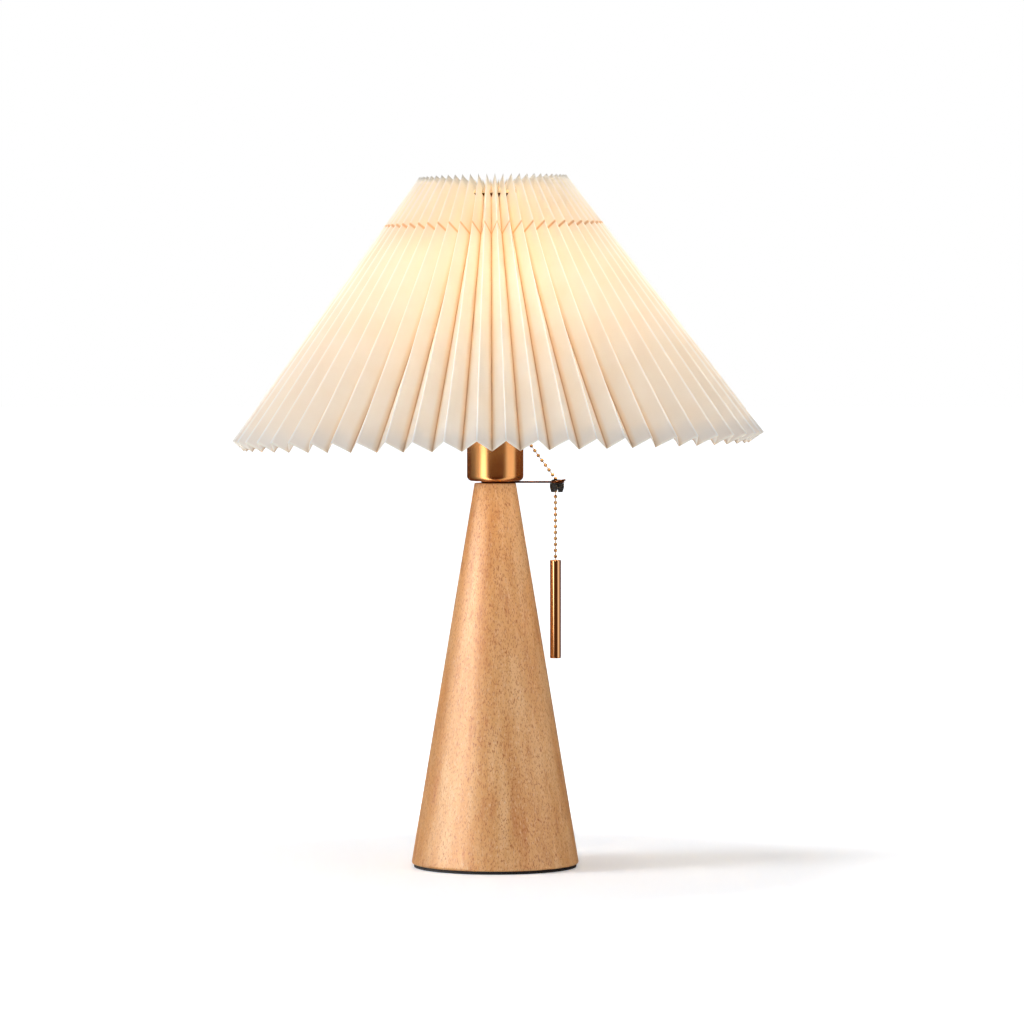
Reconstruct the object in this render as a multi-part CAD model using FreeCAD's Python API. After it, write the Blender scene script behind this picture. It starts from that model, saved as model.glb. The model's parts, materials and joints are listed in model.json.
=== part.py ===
"""Pleated paper table lamp on a turned wooden cone, as separate pieces.

Frame: millimetres, +Z up, origin at the centre of the base's underside.
+X points to the side that the pull chain hangs on, and -Y is the front.
"""
import FreeCAD, Part
import math
import os

from FreeCAD import Vector

os.makedirs("parts", exist_ok=True)

X_AXIS = Vector(1, 0, 0)
Y_AXIS = Vector(0, 1, 0)
Z_AXIS = Vector(0, 0, 1)

# ---------------------------------------------------------------- driving dimensions
# Wooden cone and what is under it
pad_radius = 56.0
pad_thickness = 2.0
cone_bottom_radius = 57.8
cone_top_radius = 14.3
cone_height = 262.3
cone_bottom_round = 1.5
cone_top_round = 0.6
recess_radius = 44.0
recess_depth = 16.0
nut_pocket_radius = 11.0
nut_pocket_depth = 8.0
weight_thickness = 12.0
weight_side_clearance = 0.5
weight_centre_radius = 12.5
weight_slot_width = 9.0
weight_screw_count = 3
weight_screw_circle = 30.0
weight_screw_radius = 2.0
weight_screw_length = 22.0
weight_screw_head_radius = 4.0
weight_screw_head_height = 2.2
screw_slot_width = 0.9
screw_slot_depth = 0.8
thread_clearance = 0.05
edge_tolerance = 0.01
shank_clearance = 0.3

# Threaded tube that clamps the lampholder to the cone
tube_radius = 5.0
tube_bore_radius = 3.8
tube_hole_clearance = 0.3
tube_stand_out = 2.0
tube_nut_flats = 14.0
tube_nut_height = 5.0
tube_washer_radius = 10.0
tube_washer_thickness = 1.5
cap_nut_flats = 14.0
cap_nut_height = 3.5

# Outlet bush for the mains lead, at the back
outlet_height = 12.0
outlet_bore_radius = 3.4
outlet_stem_radius = 4.9
outlet_flange_radius = 6.8
outlet_flange_thickness = 1.6
outlet_flange_proud = 0.3
outlet_flange_round = 0.64
outlet_clearance = 0.1

# Guide arm for the chain, its washer and its rubber grommet
arm_wire_radius = 0.7
arm_loop_radius = 9.0
eye_centre_x = 42.6
eye_loop_radius = 4.5
arm_tail_angle = 250.0
arm_tail_overshoot = 1.3
arm_tail_rise = 1.6
spacer_washer_radius = 7.6
grommet_hole_radius = 3.0
grommet_neck_clearance = 0.1
grommet_lip_height = 0.8
grommet_lip_radius = 3.95
grommet_lip_flare = 0.6
grommet_bulge_radius = 4.9
grommet_tip_radius = 3.9
grommet_drop = 7.0
grommet_notch_width = 1.5
grommet_notch_depth = 1.7

# Lampholder
cap_radius = 19.5
cap_wall = 0.8
cap_height = 40.3
cap_corner = 3.5
liner_thickness = 0.4
liner_clearance = 0.1
shell_wall = 0.6
shell_clearance = 0.1
shell_insert = 4.5
shell_height = 38.5
shell_rim_height = 1.6
shell_rim_radius = 15.2
shell_thread_start = 14.0
shell_thread_pitch = 2.0
shell_thread_depth = 0.25
insulator_clearance = 0.4
insulator_floor = 6.0
insulator_height = 28.0
insulator_gap = 0.1
socket_inner_radius = 13.4
socket_wall = 0.4
socket_height = 21.0
socket_hole_radius = 6.5
contact_width = 5.0
contact_thickness = 0.5
contact_rise = 3.0
contact_length = 9.0
side_contact_width = 4.0
side_contact_height = 7.0
terminal_screw_radius = 1.5
terminal_screw_length = 5.0
terminal_head_radius = 2.6
terminal_head_height = 1.6
terminal_offset = 12.0

# Pull switch inside the lampholder
mouth_height = 30.8
mouth_throat_radius = 1.8
mouth_stem_wall = 0.8
mouth_inner_reach = 4.2
mouth_outer_reach = 1.2
mouth_lip_radius = 2.6
mouth_lip_wall = 0.7
mouth_fit_clearance = 0.1
mouth_nut_radius = 3.8
mouth_nut_thickness = 1.4
housing_drop = 15.5
housing_height = 22.0
housing_side_clearance = 0.3
housing_floor = 2.0
housing_roof = 2.5
pocket_width = 14.0
pocket_back = 9.0
lever_length = 9.0
lever_hub_radius = 3.0
lever_width = 3.0
lever_thickness = 1.0
lever_prong_reach = 1.0
lever_slot_width = 1.2
lever_bead_gap = 1.9
pin_radius = 1.2
pin_length = 18.0
pin_clearance = 0.05
rotor_radius = 3.8
rotor_width = 3.4
rotor_flat_depth = 0.8
rotor_side_gap = 0.5
spring_wire_radius = 0.3
spring_coil_radius = 2.2
spring_turns = 4.0
spring_pitch = 0.9
spring_side_gap = 0.6
strip_thickness = 0.4
strip_width = 3.0
strip_height = 9.0
strip_rotor_gap = 0.4

# Ball chain and pull bar
bead_radius = 1.25
bead_pitch = 4.12
bead_cavity_radius = 0.95
link_radius = 0.25
link_ball_radius = 0.6
bead_opening_angle = 38.0
inner_bead_count = 6
inner_chain_end_x = 20.0
drop_x = 41.6
turn_bead_rise = 2.2
diagonal_bead_count = 8
diagonal_start_gap = 0.25
guided_bead_count = 3
upper_bead_count = 4
middle_bead_count = 4
lower_bead_count = 3
bar_radius = 3.8
bar_length = 67.8
bar_edge = 0.4
bar_bush_radius = 2.6
bar_bush_length = 4.5
bar_bead_depth = 1.7
bar_seat_clearance = 0.25
bar_mouth_radius = 1.3

# Bulb
bulb_length = 106.0
bulb_radius = 30.0
bulb_glass_wall = 0.8
bulb_neck_radius = 13.0
bulb_cap_radius = 13.22
bulb_cap_wall = 0.3
bulb_cap_length = 20.0
bulb_skirt_radius = 13.9
bulb_skirt_height = 2.5
bulb_tip_radius = 4.5
bulb_tip_height = 1.5
bulb_seal_radius = 11.0
bulb_seal_height = 4.0
bulb_tip_gap = 0.1
bulb_taper_share = 0.75

# Pleated shade and its carrier
pleat_count = 56
front_pleat_angle = 1.9
shade_top_radius = 50.8
shade_bottom_radius = 183.4
fold_length = 223.2
panel_width = 15.1
paper_thickness = 0.35
hem_width = 41.0
hem_glue_gap = 0.1
shade_above_ring = 14.5
ring_wire_radius = 1.5
ring_bite = 0.6
notch_clearance = 0.3
notch_depth = 8.2
spoke_wire_radius = 1.4
spoke_count = 3
spoke_bend_radius = 2.5
spoke_top_inset = 8.2
spoke_foot_radius = 29.6
first_spoke_angle = 90.0
spider_height = 131.0
carrier_radius = 31.6
carrier_thickness = 1.5
carrier_bore_clearance = 0.15
carrier_face_clearance = 0.05
carrier_height = 27.5
support_ring_radius = 24.0
support_ring_height = 3.0
shade_nut_radius = 23.0
shade_nut_height = 5.5
shade_nut_grips = 24
shade_nut_grip_radius = 0.8

# ---------------------------------------------------------------- heights that follow
cone_bottom_z = pad_thickness
cone_top_z = cone_bottom_z + cone_height
recess_top_z = cone_bottom_z + recess_depth
weight_bottom_z = recess_top_z - weight_thickness
pocket_top_z = recess_top_z + nut_pocket_depth
washer_bottom_z = pocket_top_z - tube_washer_thickness
tube_nut_bottom_z = washer_bottom_z - tube_nut_height
arm_wire_z = cone_top_z + arm_wire_radius
cap_bottom_z = cone_top_z + 2 * arm_wire_radius
cap_floor_z = cap_bottom_z + cap_wall
cap_top_z = cap_bottom_z + cap_height
cap_inner_radius = cap_radius - cap_wall
liner_radius = cap_inner_radius - liner_clearance
shell_radius = cap_inner_radius - shell_clearance
shell_bottom_z = cap_top_z - shell_insert
shell_top_z = shell_bottom_z + shell_height
insulator_radius = shell_radius - shell_wall - insulator_clearance
mouth_z = cap_bottom_z + mouth_height
housing_bottom_z = mouth_z - housing_drop
housing_top_z = housing_bottom_z + housing_height
housing_radius = liner_radius - liner_thickness - housing_side_clearance
insulator_bottom_z = housing_top_z + insulator_gap
socket_bottom_z = insulator_bottom_z + insulator_floor
socket_outer_radius = socket_inner_radius + socket_wall
bulb_tip_z = socket_bottom_z + socket_wall + contact_rise + bulb_tip_gap
bulb_seal_z = bulb_tip_z + bulb_tip_height
bulb_cap_z = bulb_seal_z + bulb_seal_height
bulb_cap_top_z = bulb_cap_z + bulb_cap_length
bulb_top_z = bulb_tip_z + bulb_length
support_ring_z = shell_bottom_z + carrier_height - support_ring_height
carrier_z = support_ring_z + support_ring_height + carrier_face_clearance
shade_nut_z = carrier_z + carrier_thickness + carrier_face_clearance
ring_z = carrier_z + carrier_thickness + spider_height
shade_top_z = ring_z + shade_above_ring
eye_z = arm_wire_z
grommet_bottom_z = eye_z - grommet_drop
turn_bead_z = eye_z + turn_bead_rise
bar_bead_z = turn_bead_z - bead_pitch * (
    guided_bead_count - 1 + upper_bead_count + middle_bead_count + lower_bead_count + 1)
bar_top_z = bar_bead_z + bar_bead_depth
neck_end_rise = (bead_radius + bead_cavity_radius) / 2


# ---------------------------------------------------------------- helpers
def save(name, shape):
    """Check a piece, or a group of identical ones, and write it as parts/NAME.step."""
    if not shape.isValid():
        raise ValueError(name + " is not a valid shape")
    if not shape.Solids:
        raise ValueError(name + " has no solid")
    shape.exportStep("parts/" + name + ".step")
    box = shape.BoundBox
    print("%-18s %2d solid(s) %11.1f mm3  z %.1f to %.1f" % (
        name, len(shape.Solids), shape.Volume, box.ZMin, box.ZMax))


def group(shapes):
    """Join the solids of several shapes into one compound."""
    solids = []
    for shape in shapes:
        solids.extend(shape.Solids)
    return Part.makeCompound(solids)


def rod(radius, start, end):
    """A round rod between two points."""
    return Part.makeCylinder(radius, (end - start).Length, start, end - start)


def disc(radius, bottom, top):
    """A round disc about Z."""
    return Part.makeCylinder(radius, top - bottom, Vector(0, 0, bottom))


def ring(outer, inner, bottom, top):
    """A flat ring about Z."""
    return disc(outer, bottom, top).cut(disc(inner, bottom, top))


def box(size, centre):
    """A box of the given sizes about its centre."""
    corner = centre - size * 0.5
    return Part.makeBox(size.x, size.y, size.z, corner)


def turned(points, centre=Vector(0, 0, 0), axis=Z_AXIS):
    """Turn a closed outline of (radius, height) points about an axis through centre."""
    corners = [Vector(radius, 0, height) for radius, height in points]
    outline = Part.makePolygon(corners + [corners[0]])
    solid = Part.Face(outline).revolve(Vector(0, 0, 0), Z_AXIS, 360)
    turn = FreeCAD.Rotation(Z_AXIS, axis)
    solid.Placement = FreeCAD.Placement(centre, turn)
    return solid


def torus(wire_radius, loop_radius, centre):
    """A wire ring lying flat."""
    return Part.makeTorus(loop_radius, wire_radius, centre)


def hex_nut(flats, height, bore, bottom):
    """A hexagon nut about Z."""
    corner = flats / math.sqrt(3)
    points = []
    for side in range(7):
        angle = math.radians(60 * side)
        points.append(Vector(corner * math.cos(angle), corner * math.sin(angle), bottom))
    blank = Part.Face(Part.makePolygon(points)).extrude(Z_AXIS * height)
    return blank.cut(disc(bore, bottom, bottom + height))


def around(shape, count, first=0.0):
    """Copies of a shape spaced evenly about Z."""
    copies = []
    for index in range(count):
        copy = shape.copy()
        copy.rotate(Vector(0, 0, 0), Z_AXIS, first + 360.0 * index / count)
        copies.append(copy)
    return copies


def cone_radius(height):
    """Radius of the wooden cone at a height."""
    share = (height - cone_bottom_z) / cone_height
    return cone_bottom_radius + share * (cone_top_radius - cone_bottom_radius)


# ---------------------------------------------------------------- wooden base
outlet_seat_y = cone_radius(outlet_height) - outlet_flange_thickness + outlet_flange_proud


def make_cone_body():
    """The turned cone, with its recess, tube bore, screw holes and outlet hole."""
    cone = Part.makeCone(cone_bottom_radius, cone_top_radius, cone_height,
                         Vector(0, 0, cone_bottom_z))
    rims = {cone_bottom_z: cone_bottom_round, cone_top_z: cone_top_round}
    for height, size in rims.items():
        edges = [edge for edge in cone.Edges if abs(edge.BoundBox.ZMax - height) < edge_tolerance
                 and edge.BoundBox.ZLength < edge_tolerance]
        cone = cone.makeFillet(size, edges)
    cone = cone.cut(disc(recess_radius, cone_bottom_z, recess_top_z))
    cone = cone.cut(disc(nut_pocket_radius, recess_top_z, pocket_top_z))
    cone = cone.cut(disc(tube_radius + tube_hole_clearance, pocket_top_z, cone_top_z))
    pilot = Part.makeCylinder(weight_screw_radius + thread_clearance,
                              weight_bottom_z + weight_screw_length - recess_top_z,
                              Vector(weight_screw_circle, 0, recess_top_z))
    cone = cone.cut(group(around(pilot, weight_screw_count)))
    outlet = rod(outlet_stem_radius + outlet_clearance,
                 Vector(0, 0, outlet_height), Vector(0, cone_bottom_radius, outlet_height))
    seat = rod(outlet_flange_radius + outlet_clearance,
               Vector(0, outlet_seat_y, outlet_height),
               Vector(0, outlet_seat_y + cone_bottom_radius, outlet_height))
    return cone.cut(outlet).cut(seat)


def make_weight():
    """The iron disc, with its centre hole, cord slot and countersunk screw holes."""
    radius = recess_radius - weight_side_clearance
    blank = disc(radius, weight_bottom_z, recess_top_z)
    blank = blank.cut(disc(weight_centre_radius, weight_bottom_z, recess_top_z))
    slot = box(Vector(weight_slot_width, radius, weight_thickness),
               Vector(0, radius / 2 + weight_centre_radius / 2,
                      weight_bottom_z + weight_thickness / 2))
    blank = blank.cut(slot)
    hole = Part.makeCylinder(weight_screw_radius + shank_clearance, weight_thickness,
                             Vector(weight_screw_circle, 0, weight_bottom_z))
    sink = Part.makeCone(weight_screw_head_radius + shank_clearance,
                         weight_screw_radius + shank_clearance,
                         weight_screw_head_height,
                         Vector(weight_screw_circle, 0, weight_bottom_z))
    return blank.cut(group(around(hole.fuse(sink), weight_screw_count)))


def make_weight_screws():
    """Countersunk screws that hold the weight up against the wood."""
    place = Vector(weight_screw_circle, 0, weight_bottom_z)
    head = Part.makeCone(weight_screw_head_radius, weight_screw_radius,
                         weight_screw_head_height, place)
    shank = Part.makeCylinder(weight_screw_radius, weight_screw_length, place)
    slot = box(Vector(2 * weight_screw_head_radius, screw_slot_width, screw_slot_depth),
               place + Z_AXIS * (screw_slot_depth / 2))
    return group(around(head.fuse(shank).cut(slot), weight_screw_count))


def make_outlet_bush():
    """The flanged bush that the mains lead leaves by."""
    start = Vector(0, recess_radius, outlet_height)
    seat = Vector(0, outlet_seat_y, outlet_height)
    face = Vector(0, outlet_seat_y + outlet_flange_thickness, outlet_height)
    bush = rod(outlet_stem_radius, start, face).fuse(rod(outlet_flange_radius, seat, face))
    rim = [edge for edge in bush.Edges if edge.BoundBox.YMin > face.y - edge_tolerance
           and edge.BoundBox.XLength > 2 * outlet_flange_radius - edge_tolerance]
    bush = bush.makeFillet(outlet_flange_round, rim)
    return bush.cut(rod(outlet_bore_radius, start, face))


save("base_pad", disc(pad_radius, 0, pad_thickness))
save("cone_body", make_cone_body())
save("base_weight", make_weight())
save("weight_screws", make_weight_screws())
save("cord_outlet_bush", make_outlet_bush())

# ---------------------------------------------------------------- clamping tube
tube_top_z = cap_floor_z + cap_nut_height + tube_stand_out
tube_bottom_z = tube_nut_bottom_z - tube_stand_out
nut_bore_radius = tube_radius + thread_clearance

save("threaded_tube", ring(tube_radius, tube_bore_radius, tube_bottom_z, tube_top_z))
save("bottom_washer", ring(tube_washer_radius, tube_radius + tube_hole_clearance,
                           washer_bottom_z, pocket_top_z))
save("bottom_nut", hex_nut(tube_nut_flats, tube_nut_height, nut_bore_radius,
                           tube_nut_bottom_z))
save("spacer_washer", ring(spacer_washer_radius, tube_radius + tube_hole_clearance,
                           cone_top_z, cap_bottom_z))
save("cap_nut", hex_nut(cap_nut_flats, cap_nut_height, nut_bore_radius, cap_floor_z))


# ---------------------------------------------------------------- chain guide arm
def make_guide_arm():
    """Wire arm: a loop clamped under the lampholder, a level run and an eye."""
    loop = torus(arm_wire_radius, arm_loop_radius, Vector(0, 0, arm_wire_z))
    eye = torus(arm_wire_radius, eye_loop_radius, Vector(eye_centre_x, 0, eye_z))
    start = Vector(arm_loop_radius, 0, arm_wire_z)
    finish = Vector(eye_centre_x - eye_loop_radius, 0, eye_z)
    turn = math.radians(arm_tail_angle)
    tail_start = Vector(eye_centre_x + eye_loop_radius * math.cos(turn),
                        eye_loop_radius * math.sin(turn), eye_z)
    tail_end = Vector(eye_centre_x + eye_loop_radius + arm_tail_overshoot,
                      -eye_loop_radius - arm_wire_radius, eye_z + arm_tail_rise)
    tail = rod(arm_wire_radius, tail_start, tail_end)
    return loop.fuse(eye).fuse(rod(arm_wire_radius, start, finish)).fuse(tail)


def make_grommet():
    """Rubber grommet that hangs in the eye, with a notched lower edge."""
    neck = eye_loop_radius - arm_wire_radius - grommet_neck_clearance
    wire_bottom = eye_z - arm_wire_radius - grommet_neck_clearance
    wire_top = eye_z + arm_wire_radius + grommet_neck_clearance
    lip_top = wire_top + grommet_lip_height
    middle = (wire_bottom + grommet_bottom_z) / 2
    outline = [
        (grommet_hole_radius, grommet_bottom_z),
        (grommet_tip_radius, grommet_bottom_z),
        (grommet_bulge_radius, middle),
        (grommet_bulge_radius, wire_bottom - grommet_neck_clearance),
        (neck, wire_bottom),
        (neck, wire_top),
        (grommet_lip_radius, wire_top),
        (grommet_lip_radius - grommet_lip_height / 2, lip_top),
        (grommet_hole_radius + grommet_lip_flare, lip_top),
        (grommet_hole_radius, wire_top),
    ]
    body = turned(outline, Vector(eye_centre_x, 0, 0))
    notch = box(Vector(grommet_notch_width, 3 * grommet_bulge_radius, grommet_notch_depth),
                Vector(eye_centre_x, 0, grommet_bottom_z + grommet_notch_depth / 2))
    return body.cut(notch)


save("chain_guide_arm", make_guide_arm())
save("guide_grommet", make_grommet())


# ---------------------------------------------------------------- lampholder
def make_holder_cap():
    """The brass cup: rounded bottom corner, tube hole and hole for the chain mouth."""
    outside = disc(cap_radius, cap_bottom_z, cap_top_z)
    bottom = [edge for edge in outside.Edges if edge.BoundBox.ZMax < cap_bottom_z + edge_tolerance]
    outside = outside.makeFillet(cap_corner, bottom)
    inside = disc(cap_inner_radius, cap_floor_z, cap_top_z)
    bottom = [edge for edge in inside.Edges if edge.BoundBox.ZMax < cap_floor_z + edge_tolerance]
    inside = inside.makeFillet(cap_corner - cap_wall, bottom)
    cup = outside.cut(inside)
    cup = cup.cut(disc(tube_radius + thread_clearance, cap_bottom_z, cap_floor_z))
    return cup.cut(mouth_hole())


def mouth_hole():
    """The round hole that the chain mouth's stem passes through."""
    radius = mouth_throat_radius + mouth_stem_wall + mouth_fit_clearance
    return rod(radius, Vector(0, 0, mouth_z), Vector(2 * cap_radius, 0, mouth_z))


def make_holder_liner():
    """The insulating sleeve inside the cup."""
    bottom = cap_floor_z + cap_corner
    sleeve = ring(liner_radius, liner_radius - liner_thickness, bottom,
                  shell_bottom_z - liner_clearance)
    opening = rod(mouth_nut_radius + mouth_fit_clearance, Vector(0, 0, mouth_z),
                  Vector(2 * cap_radius, 0, mouth_z))
    return sleeve.cut(opening)


def make_holder_shell():
    """The upper brass shell: plain skirt, rolled thread and turned-in rim."""
    inner = shell_radius - shell_wall
    thread_bottom = shell_bottom_z + shell_thread_start
    rim_bottom = shell_top_z - shell_rim_height
    outline = [(inner, shell_bottom_z), (shell_radius, shell_bottom_z)]
    turns = int((rim_bottom - thread_bottom) / shell_thread_pitch)
    for turn in range(turns):
        start = thread_bottom + turn * shell_thread_pitch
        outline.append((shell_radius, start))
        outline.append((shell_radius - shell_thread_depth, start + shell_thread_pitch / 2))
    outline.append((shell_radius, thread_bottom + turns * shell_thread_pitch))
    outline.append((shell_radius, rim_bottom))
    outline.append((shell_radius - shell_rim_height / 2, shell_top_z))
    outline.append((shell_rim_radius, shell_top_z))
    outline.append((shell_rim_radius, rim_bottom + shell_rim_height / 2))
    outline.append((inner, rim_bottom))
    return turned(outline)


def make_insulator():
    """The ceramic cup that carries the screw socket and its contacts."""
    top = insulator_bottom_z + insulator_height
    cup = ring(insulator_radius, socket_outer_radius + insulator_gap,
               socket_bottom_z, top)
    floor = disc(insulator_radius, insulator_bottom_z, socket_bottom_z)
    cup = cup.fuse(floor)
    reach = socket_outer_radius + side_contact_width
    slot = box(Vector(reach, side_contact_width + 2 * insulator_gap, side_contact_height),
               Vector(-reach / 2, 0, socket_bottom_z - side_contact_height / 2
                      + 2 * insulator_gap))
    for side in (-1, 1):
        hole = Part.makeCylinder(terminal_screw_radius + thread_clearance,
                                 terminal_screw_length,
                                 Vector(0, side * terminal_offset, insulator_bottom_z))
        cup = cup.cut(hole)
    return cup.cut(slot.common(ring(reach, socket_hole_radius, insulator_bottom_z,
                                    socket_bottom_z)))


def make_socket_shell():
    """The screw shell that grips the bulb's cap."""
    wall = ring(socket_outer_radius, socket_inner_radius, socket_bottom_z,
                socket_bottom_z + socket_height)
    floor = ring(socket_outer_radius, socket_hole_radius, socket_bottom_z,
                 socket_bottom_z + socket_wall)
    return wall.fuse(floor)


def make_centre_contact():
    """Springy brass tongue under the bulb's tip."""
    foot = box(Vector(contact_length, contact_width, contact_thickness),
               Vector(0, 0, socket_bottom_z + contact_thickness / 2))
    rise = contact_rise + socket_wall
    riser = box(Vector(contact_thickness, contact_width, rise),
                Vector(contact_length / 2 - contact_thickness / 2, 0,
                       socket_bottom_z + rise / 2))
    tongue = box(Vector(contact_length, contact_width, contact_thickness),
                 Vector(0, 0, socket_bottom_z + rise - contact_thickness / 2))
    return foot.fuse(riser).fuse(tongue)


def make_side_contact():
    """Brass strip from the screw shell down to its terminal."""
    reach = socket_outer_radius - socket_hole_radius
    centre_x = -(socket_outer_radius + socket_hole_radius) / 2
    flat = box(Vector(reach, side_contact_width, contact_thickness),
               Vector(centre_x, 0, socket_bottom_z - contact_thickness / 2))
    drop = insulator_floor - insulator_gap
    leg = box(Vector(contact_thickness, side_contact_width, drop),
              Vector(-socket_outer_radius + contact_thickness, 0,
                     socket_bottom_z - drop / 2))
    return flat.fuse(leg)


def make_terminal_screws():
    """The two screws under the insulator that take the lead's wires."""
    screws = []
    for side in (-1, 1):
        place = Vector(0, side * terminal_offset, insulator_bottom_z)
        shank = Part.makeCylinder(terminal_screw_radius, terminal_screw_length, place)
        head_place = place - Z_AXIS * terminal_head_height
        head = Part.makeCylinder(terminal_head_radius, terminal_head_height, head_place)
        slot = box(Vector(2 * terminal_head_radius, screw_slot_width, screw_slot_depth),
                   head_place + Z_AXIS * (screw_slot_depth / 2))
        screws.append(head.cut(slot).fuse(shank))
    return group(screws)


save("holder_cap", make_holder_cap())
save("holder_liner", make_holder_liner())
save("holder_shell", make_holder_shell())
save("socket_insulator", make_insulator())
save("socket_shell", make_socket_shell())
save("centre_contact", make_centre_contact())
save("side_contact", make_side_contact())
save("terminal_screws", make_terminal_screws())

# ---------------------------------------------------------------- pull switch
bead_behind_x = inner_chain_end_x - bead_pitch * (inner_bead_count - 1)
pivot = Vector(bead_behind_x + lever_bead_gap, 0, mouth_z - lever_length)
rotor_y = lever_width / 2 + rotor_side_gap + rotor_width / 2
spring_y = -lever_width / 2 - spring_side_gap - spring_turns * spring_pitch


def make_switch_housing():
    """The moulded block below the socket, with an open pocket for the mechanism."""
    blank = disc(housing_radius, housing_bottom_z, housing_top_z)
    pocket_bottom = housing_bottom_z + housing_floor
    pocket_top = housing_top_z - housing_roof
    reach = housing_radius + pocket_back
    pocket = box(Vector(reach, pocket_width, pocket_top - pocket_bottom),
                 Vector(reach / 2 - pocket_back, 0, (pocket_top + pocket_bottom) / 2))
    blank = blank.cut(pocket)
    half = Vector(0, pin_length / 2, 0)
    blank = blank.cut(rod(pin_radius, pivot - half, pivot + half))
    for side in (-1, 1):
        recess = Part.makeCylinder(terminal_head_radius + shank_clearance,
                                   terminal_head_height + insulator_gap,
                                   Vector(0, side * terminal_offset,
                                          housing_top_z - terminal_head_height
                                          - insulator_gap))
        blank = blank.cut(recess)
    return blank


def make_lever():
    """The lever that the chain pulls: a hub, an arm and a slotted end."""
    half = Vector(0, lever_width / 2, 0)
    hub = rod(lever_hub_radius, pivot - half, pivot + half)
    reach = lever_length + lever_prong_reach
    arm = box(Vector(lever_thickness, lever_width, reach), pivot + Z_AXIS * (reach / 2))
    slot_bottom = lever_length - bead_radius
    slot = box(Vector(2 * lever_thickness, lever_slot_width, reach),
               pivot + Z_AXIS * (slot_bottom + reach / 2))
    bore = rod(pin_radius + pin_clearance, pivot - half * 2, pivot + half * 2)
    return hub.fuse(arm).cut(slot).cut(bore)


def make_rotor():
    """The switch drum beside the lever, with two flats."""
    half = Vector(0, rotor_width / 2, 0)
    centre = pivot + Y_AXIS * rotor_y
    drum = rod(rotor_radius, centre - half, centre + half)
    for side in (-1, 1):
        offset = rotor_radius - rotor_flat_depth + rotor_radius / 2
        flat = box(Vector(2 * rotor_radius, rotor_width, rotor_radius),
                   centre + Z_AXIS * (side * offset))
        drum = drum.cut(flat)
    return drum.cut(rod(pin_radius + pin_clearance, centre - half, centre + half))


def make_return_spring():
    """The coil spring round the pin that brings the lever back."""
    helix = Part.makeHelix(spring_pitch, spring_pitch * spring_turns, spring_coil_radius)
    profile = Part.Wire(Part.makeCircle(spring_wire_radius,
                                        Vector(spring_coil_radius, 0, 0), Y_AXIS))
    coil = Part.Wire(helix.Edges).makePipeShell([profile], True, True)
    turn = FreeCAD.Rotation(Z_AXIS, Y_AXIS)
    coil.Placement = FreeCAD.Placement(pivot + Y_AXIS * spring_y, turn)
    return coil


def make_switch_strips():
    """The two contact strips that stand each side of the drum."""
    strips = []
    bottom = housing_bottom_z + housing_floor
    for side in (-1, 1):
        offset = side * (rotor_radius + strip_rotor_gap + strip_thickness / 2)
        centre = Vector(pivot.x + offset, rotor_y, bottom + strip_height / 2)
        strips.append(box(Vector(strip_thickness, strip_width, strip_height), centre))
    return group(strips)


def make_chain_mouth():
    """The bell mouth that the chain leaves the lampholder by."""
    stem = mouth_throat_radius + mouth_stem_wall
    wall_x = cap_radius - cap_wall
    inner_x = wall_x - mouth_inner_reach
    tip_x = cap_radius + mouth_outer_reach
    lip = mouth_lip_radius + mouth_lip_wall
    outline = [
        (mouth_throat_radius, inner_x),
        (stem, inner_x),
        (stem, cap_radius),
        (lip - mouth_lip_wall / 2, tip_x - mouth_lip_wall),
        (lip, tip_x - mouth_lip_wall / 2),
        (lip - mouth_lip_wall / 2, tip_x),
        (mouth_lip_radius, tip_x - mouth_lip_wall / 4),
        (mouth_throat_radius, cap_radius - cap_wall / 2),
    ]
    return turned(outline, Vector(0, 0, mouth_z), X_AXIS)


def make_mouth_nut():
    """The thin round nut that holds the mouth from inside the cup."""
    stem = mouth_throat_radius + mouth_stem_wall + thread_clearance
    seat_x = math.sqrt(cap_inner_radius ** 2 - mouth_nut_radius ** 2)
    start = Vector(seat_x - mouth_nut_thickness, 0, mouth_z)
    finish = Vector(seat_x, 0, mouth_z)
    return rod(mouth_nut_radius, start, finish).cut(rod(stem, start, finish))


save("switch_housing", make_switch_housing())
save("pull_lever", make_lever())
save("switch_drum", make_rotor())
save("return_spring", make_return_spring())
save("contact_strips", make_switch_strips())
save("lever_pin", rod(pin_radius, pivot - Y_AXIS * (pin_length / 2),
                      pivot + Y_AXIS * (pin_length / 2)))
save("chain_mouth", make_chain_mouth())
save("mouth_nut", make_mouth_nut())

# ---------------------------------------------------------------- ball chain
diagonal = Vector(drop_x - inner_chain_end_x, 0, turn_bead_z - mouth_z)
diagonal.normalize()
straight_down = Vector(0, 0, -1)


def bead(centre):
    """A plain bead."""
    return Part.makeSphere(bead_radius, centre)


def joint_bead(centre, direction):
    """A hollow bead, open on the side that the next link leaves by."""
    angle = math.radians(bead_opening_angle)
    reach = 2 * bead_radius
    mouth = Part.makeCone(0, reach * math.tan(angle), reach, centre, direction)
    shell = Part.makeSphere(bead_radius, centre)
    return shell.cut(Part.makeSphere(bead_cavity_radius, centre)).cut(mouth)


def link_end(centre, direction):
    """The end of a link: a ball inside a joint bead and the neck out to the next bead."""
    ball = Part.makeSphere(link_ball_radius, centre)
    return ball.fuse(rod(link_radius, centre, centre + direction * bead_pitch))


def run(first, direction, count):
    """Beads in a straight row, with links between them."""
    shape = bead(first)
    for index in range(1, count):
        place = first + direction * (bead_pitch * index)
        shape = shape.fuse(rod(link_radius, place - direction * bead_pitch, place))
        shape = shape.fuse(bead(place))
    return shape


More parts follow.
